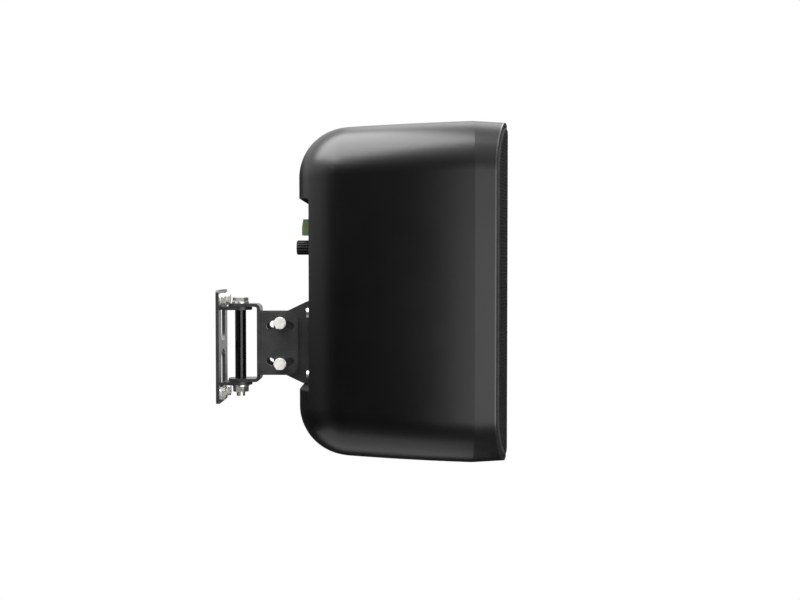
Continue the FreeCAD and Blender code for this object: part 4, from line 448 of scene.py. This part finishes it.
class SpeakerStudio(bpy.types.PropertyGroup):
    eye: bpy.props.FloatVectorProperty(
        name="Eye",
        description="Place of the camera",
        subtype="TRANSLATION",
        unit="LENGTH",
        default=(0.1712, -1.1, 0.0803),
    )
    dip: number_setting("Dip", "Camera tilt below the horizon", math.radians(1.93), "ANGLE")
    lens: number_setting("Lens", "Focal length in millimetres", 52.1)
    floor: length_setting("Floor", "Height of the floor", -0.75)
    top_light: number_setting("Top light", "Power of the overhead panel", 43.0)
    key_light: number_setting("Key light", "Power of the panel by the camera", 15.4)
    rear_light: number_setting("Rear light", "Power of the panel behind the speaker", 3.5)


# Meshes


def new_object(name, data):
    piece = bpy.data.objects.new(name, data)
    bpy.context.scene.collection.objects.link(piece)
    return piece


def cover(material, *names):
    """Gives CAD nodes a material."""
    for name in names:
        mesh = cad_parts[name].data
        mesh.materials.clear()
        mesh.materials.append(material)


def baked(piece, name):
    """A piece's evaluated mesh as a plain object, in place of the one with modifiers."""
    graph = bpy.context.evaluated_depsgraph_get()
    mesh = bpy.data.meshes.new_from_object(piece.evaluated_get(graph))
    mesh.name = name
    old = piece.data
    bpy.data.objects.remove(piece)
    bpy.data.meshes.remove(old)
    return new_object(name, mesh)


def with_tree(name, tree, settings):
    """An object made by a node tree, with its inputs set by their identifiers."""
    piece = new_object(name, bpy.data.meshes.new(name + "_start"))
    modifier = piece.modifiers.new(name, "NODES")
    modifier.node_group = tree
    for socket in tree.interface.items_tree:
        if socket.in_out == "INPUT" and socket.name in settings:
            modifier[socket.identifier] = settings[socket.name]
    return baked(piece, name)


def sized_tree(name, sizes):
    """A geometry node tree with named number inputs, and its group input."""
    tree = bpy.data.node_groups.new(name, "GeometryNodeTree")
    for size in sizes:
        tree.interface.new_socket(size, in_out="INPUT", socket_type="NodeSocketFloat")
    tree.interface.new_socket("Geometry", in_out="OUTPUT", socket_type="NodeSocketGeometry")
    nodes = Nodes(tree)
    return nodes, nodes.add("NodeGroupInput")


def end_tree(nodes, geometry, material):
    """Ends a geometry node tree with its material and its output."""
    inputs = {"Geometry": geometry, "Material": material}
    painted = nodes.add("GeometryNodeSetMaterial", {}, inputs)["Geometry"]
    nodes.add("NodeGroupOutput", {}, {"Geometry": painted})
    return nodes.tree


# Perforated field of the grille

CELL_SIDES = 6
# Rows lie closer together than the cells in a row
ROW_SPACING = math.sqrt(3) / 2
WELDS_PER_PITCH = 50.0


def welded(nodes, given, geometry):
    """Joins points that lie much closer together than the cells do."""
    inputs = {"Geometry": geometry, "Distance": given["Pitch"] / WELDS_PER_PITCH}
    return nodes.add("GeometryNodeMergeByDistance", {}, inputs)["Geometry"]


def cell_places(nodes, given):
    """Points of a staggered grid, where they lie inside a rounded outline."""
    pitch = given["Pitch"]
    row_pitch = ROW_SPACING * pitch
    columns = (given["Half Width"] * 2.0 / pitch).floor() + 2.0
    rows = (given["Half Height"] * 2.0 / row_pitch).floor() + 2.0
    grid = nodes.add("GeometryNodeMeshGrid", {}, {"Vertices X": columns, "Vertices Y": rows})["Mesh"]
    index = nodes.add("GeometryNodeInputIndex")["Index"]
    column = ((index + 0.5) / rows).floor()
    row = index - column * rows
    across = (column - (columns - 1.0) * 0.5 + (row % 2.0 - 0.5) * 0.5) * pitch
    up = (row - (rows - 1.0) * 0.5) * row_pitch
    past_side = (abs(across) - given["Half Width"] + given["Corner"]).at_least(0.0)
    past_top = (abs(up) - given["Half Height"] + given["Corner"]).at_least(0.0)
    outside = (past_side * past_side + past_top * past_top).root().above(given["Corner"])
    moved = {"Geometry": grid, "Position": nodes.vector(0.0, across, up)}
    places = nodes.add("GeometryNodeSetPosition", {}, moved)["Geometry"]
    dropped = {"Geometry": places, "Selection": outside}
    return nodes.add("GeometryNodeDeleteGeometry", {"domain": "POINT"}, dropped)["Geometry"]


def open_cell(nodes, given):
    """One flat hexagon with a hexagonal opening."""
    sizes = {"Vertices": CELL_SIDES, "Radius": given["Pitch"] / math.sqrt(3)}
    disc = nodes.add("GeometryNodeMeshCircle", {"fill_type": "NGON"}, sizes)["Mesh"]
    inset = nodes.add("GeometryNodeExtrudeMesh", {"mode": "FACES"}, {"Mesh": disc, "Offset Scale": 0.0})
    shrunk = {"Geometry": inset["Mesh"], "Selection": inset["Top"], "Scale": given["Opening"]}
    scaled = nodes.add("GeometryNodeScaleElements", {"domain": "FACE"}, shrunk)["Geometry"]
    dropped = {"Geometry": scaled, "Selection": inset["Top"]}
    return nodes.add("GeometryNodeDeleteGeometry", {"domain": "FACE"}, dropped)["Geometry"]


def thickened(nodes, given, flat):
    """A closed sheet in front of a flat one."""
    lift = nodes.vector(given["Sheet"])
    raised = {"Mesh": flat, "Offset": lift, "Offset Scale": 1.0, "Individual": False}
    front = nodes.add("GeometryNodeExtrudeMesh", {"mode": "FACES"}, raised)["Mesh"]
    back = nodes.add("GeometryNodeFlipFaces", {}, {"Mesh": flat})["Mesh"]
    both = nodes.add("GeometryNodeJoinGeometry")
    for half in (front, back):
        nodes.tree.links.new(half.socket, both.node.inputs[0])
    return welded(nodes, given, both["Geometry"])


def crowned(nodes, given, sheet):
    """A flat sheet bent to the crown and moved to its place."""
    x, y, z = nodes.parts(nodes.add("GeometryNodeInputPosition")["Position"])
    crown = given["Crown"]
    bent = x - given["Sheet"] + given["Reach"] - crown + (crown * crown - y * y).root()
    moved = {"Geometry": sheet, "Position": nodes.vector(bent, y, z + given["Middle"])}
    return nodes.add("GeometryNodeSetPosition", {}, moved)["Geometry"]


def perforated_sheet(material):
    """A staggered field of openings inside a rounded outline, given a thickness and bent to the crown."""
    sizes = ["Pitch", "Opening", "Half Width", "Half Height", "Corner", "Sheet", "Crown", "Reach", "Middle"]
    nodes, given = sized_tree("perforated_sheet", sizes)
    turn = nodes.add("FunctionNodeEulerToRotation", {}, {"Euler": (0.0, math.pi / 2, 0.0)})["Rotation"]
    spread = {"Points": cell_places(nodes, given), "Instance": open_cell(nodes, given), "Rotation": turn}
    copies = nodes.add("GeometryNodeInstanceOnPoints", {}, spread)["Instances"]
    loose = nodes.add("GeometryNodeRealizeInstances", {}, {"Geometry": copies})["Geometry"]
    closed = thickened(nodes, given, welded(nodes, given, loose))
    return end_tree(nodes, crowned(nodes, given, closed), material)


# Folded rim of the grille

CORNER_STEPS = 20
FOLD_STEPS = 4
LONGEST_RUN = 0.006
SAME_POINT = 1e-6


def rounded_outline(half_width, half_height, corner):
    """Points round a rounded rectangle in Y and Z, anticlockwise seen from the front."""
    points = []
    for quarter, (side, top) in enumerate(((1, 1), (-1, 1), (-1, -1), (1, -1))):
        for step in range(CORNER_STEPS + 1):
            angle = math.pi / 2 * (quarter + step / CORNER_STEPS)
            y = side * (half_width - corner) + corner * math.cos(angle)
            z = top * (half_height - corner) + corner * math.sin(angle)
            points.append((y, z))
    return points


def divided(points):
    """The same closed line with its long runs cut, so that it can bend with the crown."""
    line = []
    for start, end in zip(points, points[1:] + points[:1]):
        pieces = max(1, math.ceil(math.dist(start, end) / LONGEST_RUN))
        for step in range(pieces):
            share = step / pieces
            line.append((start[0] + (end[0] - start[0]) * share, start[1] + (end[1] - start[1]) * share))
    return line


def clamped(value, limit):
    return max(-limit, min(limit, value))


def rim_section(sizes, back):
    """The rim's section, as pairs of inset from the outline and depth from the crown."""
    fold = sizes.fold
    thick = sizes.sheet
    lean = sizes.lean
    inner = lean + fold + sizes.lap
    section = [(inner, sizes.tuck)]
    for step in range(FOLD_STEPS + 1):
        angle = math.pi / 2 * step / FOLD_STEPS
        section.append((lean + fold * (1 - math.sin(angle)), sizes.tuck + fold * (1 - math.cos(angle))))
    return section + [(0.0, back), (thick, back), (lean + thick, fold + thick), (inner, fold + thick)]


def folded_rim(name, half_width, half_height, corner, middle, reach, crown, section):
    """A closed band round the grille, with the same section all the way."""
    outline = divided(rounded_outline(half_width, half_height, corner))
    count = len(outline)
    mesh = bmesh.new()
    rings = []
    for inset, depth in section:
        share = 1.0 - inset / corner
        ring = []
        for y, z in outline:
            core_y = clamped(y, half_width - corner)
            core_z = clamped(z, half_height - corner)
            inner_y = core_y + (y - core_y) * share
            inner_z = core_z + (z - core_z) * share
            x = reach - crown + math.sqrt(crown**2 - inner_y**2) - depth
            ring.append(mesh.verts.new((x, inner_y, inner_z + middle)))
        rings.append(ring)
    for first, second in zip(rings, rings[1:] + rings[:1]):
        for index in range(count):
            following = (index + 1) % count
            mesh.faces.new((first[index], first[following], second[following], second[index]))
    bmesh.ops.remove_doubles(mesh, verts=mesh.verts, dist=SAME_POINT)
    bmesh.ops.recalc_face_normals(mesh, faces=mesh.faces)
    data = bpy.data.meshes.new(name)
    mesh.to_mesh(data)
    mesh.free()
    data.shade_smooth()
    return new_object(name, data)


class SPEAKER_OT_grille(bpy.types.Operator):
    """Make the curved perforated grille and its folded rim"""

    bl_idname = "speaker.grille"
    bl_label = "Grille"

    def execute(self, context):
        sizes = context.scene.speaker_grille
        low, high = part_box("grille")
        half_width = (high.y - low.y) / 2
        half_height = (high.z - low.z) / 2
        middle = (high.z + low.z) / 2
        field_paint = powder_coat("grille_powder", GRILLE_BLACK, roughness=0.62, specular=0.2)
        rim_paint = powder_coat("rim_powder", RIM_BLACK, roughness=0.62, specular=0.2)
        settings = {
            "Pitch": sizes.pitch,
            "Opening": sizes.opening,
            "Half Width": half_width - sizes.lean - sizes.border,
            "Half Height": half_height - sizes.lean - sizes.border,
            "Corner": sizes.corner - sizes.border,
            "Sheet": sizes.sheet,
            "Crown": sizes.crown,
            "Reach": high.x,
            "Middle": middle,
        }
        field = with_tree("grille_perforated", perforated_sheet(field_paint), settings)
        back = high.x - low.x - (sizes.crown - math.sqrt(sizes.crown**2 - half_width**2))
        section = rim_section(sizes, back)
        rim = folded_rim(
            "grille_rim", half_width, half_height, sizes.corner, middle, high.x, sizes.crown, section
        )
        rim.data.materials.append(rim_paint)
        for piece in (field, rim):
            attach(piece, "speaker")
        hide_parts("grille")
        return {"FINISHED"}


# CAD pieces that keep their shape and get a finish

# Low and high corners of the recess across the cabinet's back, which stays matt
RECESS_BOX = ((0.0, -0.2, -0.0368), (0.0894, 0.2, 0.1373))


class SPEAKER_OT_cabinet(bpy.types.Operator):
    """Finish the rear moulding, the front moulding and what seals them"""

    bl_idname = "speaker.cabinet"
    bl_label = "Cabinet"

    def execute(self, context):
        finish = context.scene.speaker_finish
        sizes = context.scene.speaker_grille
        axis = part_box("grille")[1].x - sizes.crown
        lip = (axis, sizes.crown - sizes.proud - sizes.edge)
        rear = moulded_plastic("cabinet_grain", finish.cabinet, finish.grain, matt_box=RECESS_BOX)
        front = moulded_plastic("bezel_grain", finish.cabinet, finish.grain, roughness=0.32, lip=lip)
        cover(rear, "rear_cabinet")
        cover(front, "front_baffle")
        cover(rubber("cabinet_seal", BLACK), "cabinet_gasket")
        cover(powder_coat("blackened_screws", BLACK, roughness=0.35), "baffle_screws")
        return {"FINISHED"}


class SPEAKER_OT_bracket(bpy.types.Operator):
    """Finish the wall plate, the swivel and the two arms"""

    bl_idname = "speaker.bracket"
    bl_label = "Bracket"

    def execute(self, context):
        finish = context.scene.speaker_finish
        paint = powder_coat("bracket_powder", finish.bracket)
        cover(paint, "wall_plate", "swivel_bracket", "left_speaker_bracket", "right_speaker_bracket")
        cover(powder_coat("spacer_black", finish.cabinet, roughness=0.2), "pivot_spacer")
        return {"FINISHED"}


class SPEAKER_OT_fasteners(bpy.types.Operator):
    """Finish the bolts, nuts, washers and screws that show"""

    bl_idname = "speaker.fasteners"
    bl_label = "Fasteners"

    def execute(self, context):
        plate = context.scene.speaker_finish.plate
        zinc = plated_steel("zinc_plate", plate)
        bright = plated_steel("bright_zinc", plate, roughness=0.34, metallic=0.9)
        cover(zinc, "tilt_bolts", "tilt_washers", "tilt_nuts")
        cover(bright, "wall_washers", "wall_nuts", "bracket_screws")
        cover(bright, "pivot_bolt", "pivot_washers", "pivot_nut")
        cover(machined_brass("insert_brass", INSERT_BRASS), "bracket_inserts")
        return {"FINISHED"}


class SPEAKER_OT_connections(bpy.types.Operator):
    """Finish the input panel, terminal plug and tap knob"""

    bl_idname = "speaker.connections"
    bl_label = "Rear connections"

    def execute(self, context):
        plug_colour = context.scene.speaker_finish.plug
        panel = moulded_plastic("panel_plastic", BLACK, grain=0.0004, roughness=0.45)
        knob = moulded_plastic("knob_plastic", BLACK, grain=0.0004, roughness=0.7)
        plug = moulded_plastic("plug_plastic", plug_colour, grain=0.0005, roughness=0.45)
        cover(panel, "input_panel", "tap_switch", "connector_header")
        cover(knob, "tap_knob")
        cover(plug, "connector_plug")
        cover(powder_coat("panel_screw_black", BLACK, roughness=0.35), "input_panel_screws")
        cover(plated_steel("terminal_plate", TERMINAL_ZINC, roughness=0.28), "plug_screws")
        cover(machined_brass("pin_brass", PIN_BRASS), "header_pins")
        return {"FINISHED"}


class SPEAKER_OT_drivers(bpy.types.Operator):
    """Finish the woofer, the tweeter and the ports behind the grille"""

    bl_idname = "speaker.drivers"
    bl_label = "Drivers"

    def execute(self, context):
        port = moulded_plastic("port_plastic", PORT_BLACK, grain=0.0005, roughness=0.42)
        steel = bare_steel("motor_steel", MOTOR_STEEL)
        screw = powder_coat("driver_screw_black", BLACK, roughness=0.32)
        cover(port, "port_tubes", "tweeter_waveguide")
        cover(powder_coat("basket_enamel", BASKET_BLACK, roughness=0.4), "woofer_basket")
        cover(rubber("surround_rubber", RUBBER_BLACK), "woofer_gasket", "woofer_surround")
        cover(pressed_pulp("cone_pulp", PULP_BLACK), "woofer_cone", "woofer_dust_cap")
        cover(woven_cloth("spider_cloth", SPIDER_TAN, thread=0.0008), "woofer_spider")
        cover(woven_cloth("dome_silk", SILK_BLACK, thread=0.0004), "tweeter_dome")
        cover(wound_wire("voice_coil_wire", COIL_COPPER, wire=0.0005), "woofer_voice_coil")
        cover(steel, "woofer_top_plate", "woofer_yoke", "tweeter_top_plate", "tweeter_back_plate")
        cover(sintered_ceramic("magnet_ferrite", FERRITE_GREY), "woofer_magnet", "tweeter_magnet")
        cover(screw, "woofer_screws", "tweeter_screws")
        return {"FINISHED"}


class SPEAKER_OT_electronics(bpy.types.Operator):
    """Finish the line transformer and the crossover board"""

    bl_idname = "speaker.electronics"
    bl_label = "Electronics"

    def execute(self, context):
        core = bare_steel("core_laminations", CORE_GREY, roughness=0.5)
        screw = powder_coat("inner_screw_black", INNER_BLACK, roughness=0.35)
        cover(core, "transformer_core", "transformer_bracket")
        cover(wound_wire("transformer_wire", WINDING_COPPER, wire=0.0006), "transformer_winding")
        cover(wound_wire("inductor_wire", INDUCTOR_COPPER, wire=0.0009), "inductors")
        cover(circuit_laminate("board_mask", MASK_GREEN), "crossover_board")
        cover(dipped_film("capacitor_film", FILM_RED), "capacitors")
        cover(sintered_ceramic("resistor_cement", CEMENT_WHITE), "resistors")
        cover(screw, "board_screws", "transformer_screws")
        return {"FINISHED"}


# Studio

FLOOR_LEFT = -0.7
FLOOR_RIGHT = 0.3
FLOOR_NEAR = -0.42
FLOOR_FAR = 0.34
BACKDROP_LEFT = -0.35
BACKDROP_RIGHT = 0.7
BACKDROP_FOOT = -0.25
BACKDROP_TOP = 0.9
BACKDROP_AWAY = 2.4
PANEL_AIM = (0.17, 0.0, 0.05)
SENSOR_WIDTH = 36.0
# Levels of grey
WHITE = 1.0
PAPER = 0.8


def grey(level):
    return (level, level, level, 1.0)


def white_seamless(name):
    """A pale surface that the camera, metal and glass see as plain white.

    It still takes shadow and gives back light elsewhere.
    """
    material = bpy.data.materials.new(name)
    material.use_nodes = True
    nodes = Nodes(material.node_tree)
    nodes.tree.nodes.clear()
    path = nodes.add("ShaderNodeLightPath")
    seen = path["Is Camera Ray"].at_least(path["Is Glossy Ray"]).at_least(path["Is Transmission Ray"])
    paper = nodes.add("ShaderNodeBsdfDiffuse", {}, {"Color": grey(PAPER)})["BSDF"]
    glow = nodes.add("ShaderNodeEmission", {}, {"Color": grey(WHITE), "Strength": 1.0})["Emission"]
    surface = nodes.add("ShaderNodeMixShader", {}, {0: seen, 1: paper, 2: glow})[0]
    nodes.add("ShaderNodeOutputMaterial", {}, {"Surface": surface})
    return material


def studio_world():
    """A pale room, white where the camera looks.

    It is dim below the horizon and low behind the speaker, grey low on the camera's side, and dark behind
    the camera.
    """
    room = bpy.data.worlds.new("studio_room")
    room.use_nodes = True
    nodes = Nodes(room.node_tree)
    nodes.tree.nodes.clear()
    across, along, up = nodes.parts(nodes.add("ShaderNodeTexCoord")["Generated"])
    dark_x = -0.375
    dark_y = -0.927
    dark = grey(0.005)
    dim = grey(0.04)
    soft = grey(0.2)
    white = grey(WHITE)
    low_behind = nodes.smooth(along, low=0.5, high=0.8) * (1.0 - nodes.smooth(up, low=0.15, high=0.4))
    low_light = nodes.mix(nodes.smooth(along, low=-0.4, high=0.0), soft, dim)
    over_horizon = nodes.smooth(up, low=-0.1, high=0.16) * (1.0 - low_behind)
    room_light = nodes.mix(over_horizon, low_light, white)
    to_camera = across * dark_x + along * dark_y
    room_colour = nodes.mix(nodes.smooth(to_camera, low=0.6, high=0.92), room_light, dark)
    path = nodes.add("ShaderNodeLightPath")
    straight_behind = path["Is Glossy Ray"] * nodes.smooth(along, low=0.985, high=0.995)
    seen = path["Is Camera Ray"].at_least(path["Is Transmission Ray"]).at_least(straight_behind)
    colour = nodes.mix(seen, room_colour, white)
    glow = nodes.add("ShaderNodeBackground", {}, {"Color": colour, "Strength": 1.0})["Background"]
    nodes.add("ShaderNodeOutputWorld", {}, {"Surface": glow})
    return room


def flat_sheet(name, corners, material):
    """A flat piece of the stage."""
    mesh = bpy.data.meshes.new(name)
    mesh.from_pydata(corners, [], [tuple(range(len(corners)))])
    mesh.materials.append(material)
    sheet = new_object(name, mesh)


def light_panel(name, at, size, power):
    """A soft rectangular lamp that faces the speaker."""
    lamp = bpy.data.lights.new(name, "AREA")
    lamp.shape = "RECTANGLE"
    lamp.size, lamp.size_y = size
    lamp.energy = power
    panel = new_object(name, lamp)
    panel.location = at
    panel.rotation_euler = (Vector(PANEL_AIM) - Vector(at)).to_track_quat("-Z", "Y").to_euler()


class SPEAKER_OT_studio(bpy.types.Operator):
    """Set up the floor, backdrop, lights, world and camera"""

    bl_idname = "speaker.studio"
    bl_label = "Studio"

    def execute(self, context):
        scene = context.scene
        studio = scene.speaker_studio
        scene.view_settings.view_transform = "Standard"
        self.paper(studio.floor)
        light_panel("top_panel", at=(-0.38, -0.22, 1.16), size=(1.3, 1.35), power=studio.top_light)
        light_panel("key_panel", at=(0.96, -1.61, -0.2), size=(1.6, 1.36), power=studio.key_light)
        light_panel("rear_panel", at=(0.4, 0.8, 1.2), size=(1.0, 0.7), power=studio.rear_light)
        scene.world = studio_world()
        scene.camera = self.camera(studio)
        return {"FINISHED"}

    def paper(self, low):
        """The floor and the backdrop."""
        paper = white_seamless("studio_paper")
        floor = [
            (FLOOR_LEFT, FLOOR_NEAR, low),
            (FLOOR_RIGHT, FLOOR_NEAR, low),
            (FLOOR_RIGHT, FLOOR_FAR, low),
            (FLOOR_LEFT, FLOOR_FAR, low),
        ]
        backdrop = [
            (BACKDROP_LEFT, BACKDROP_AWAY, BACKDROP_FOOT),
            (BACKDROP_RIGHT, BACKDROP_AWAY, BACKDROP_FOOT),
            (BACKDROP_RIGHT, BACKDROP_AWAY, BACKDROP_TOP),
            (BACKDROP_LEFT, BACKDROP_AWAY, BACKDROP_TOP),
        ]
        flat_sheet("studio_floor", floor, paper)
        flat_sheet("studio_backdrop", backdrop, paper)

    def camera(self, studio):
        eye = bpy.data.cameras.new("eye")
        eye.lens = studio.lens
        eye.sensor_width = SENSOR_WIDTH
        camera = new_object("eye", eye)
        camera.location = studio.eye
        camera.rotation_euler = (math.pi / 2 - studio.dip, 0.0, 0.0)
        return camera


# Panel and registration

OPERATORS = (
    SPEAKER_OT_cabinet,
    SPEAKER_OT_grille,
    SPEAKER_OT_bracket,
    SPEAKER_OT_fasteners,
    SPEAKER_OT_connections,
    SPEAKER_OT_drivers,
    SPEAKER_OT_electronics,
    SPEAKER_OT_studio,
)
SETTINGS = (
    ("speaker_finish", SpeakerFinish),
    ("speaker_grille", SpeakerGrille),
    ("speaker_studio", SpeakerStudio),
)


class SPEAKER_PT_panel(bpy.types.Panel):
    """Lists the speaker's pieces and settings"""

    bl_idname = "SPEAKER_PT_panel"
    bl_label = "Installation speaker"
    bl_space_type = "VIEW_3D"
    bl_region_type = "UI"
    bl_category = "Speaker"

    def draw(self, context):
        for name, group in SETTINGS:
            settings = getattr(context.scene, name)
            box = self.layout.box()
            for key in group.__annotations__:
                box.prop(settings, key)
        for operator in OPERATORS:
            self.layout.operator(operator.bl_idname)


def register():
    for name, group in SETTINGS:
        bpy.utils.register_class(group)
        setattr(bpy.types.Scene, name, bpy.props.PointerProperty(type=group))
    for item in OPERATORS + (SPEAKER_PT_panel,):
        bpy.utils.register_class(item)


def unregister():
    for item in reversed(OPERATORS + (SPEAKER_PT_panel,)):
        bpy.utils.unregister_class(item)
    for name, group in reversed(SETTINGS):
        delattr(bpy.types.Scene, name)
        bpy.utils.unregister_class(group)


def main():
    register()
    for operator in OPERATORS:
        family, action = operator.bl_idname.split(".")
        getattr(getattr(bpy.ops, family), action)()


if __name__ == "__main__":
    main()
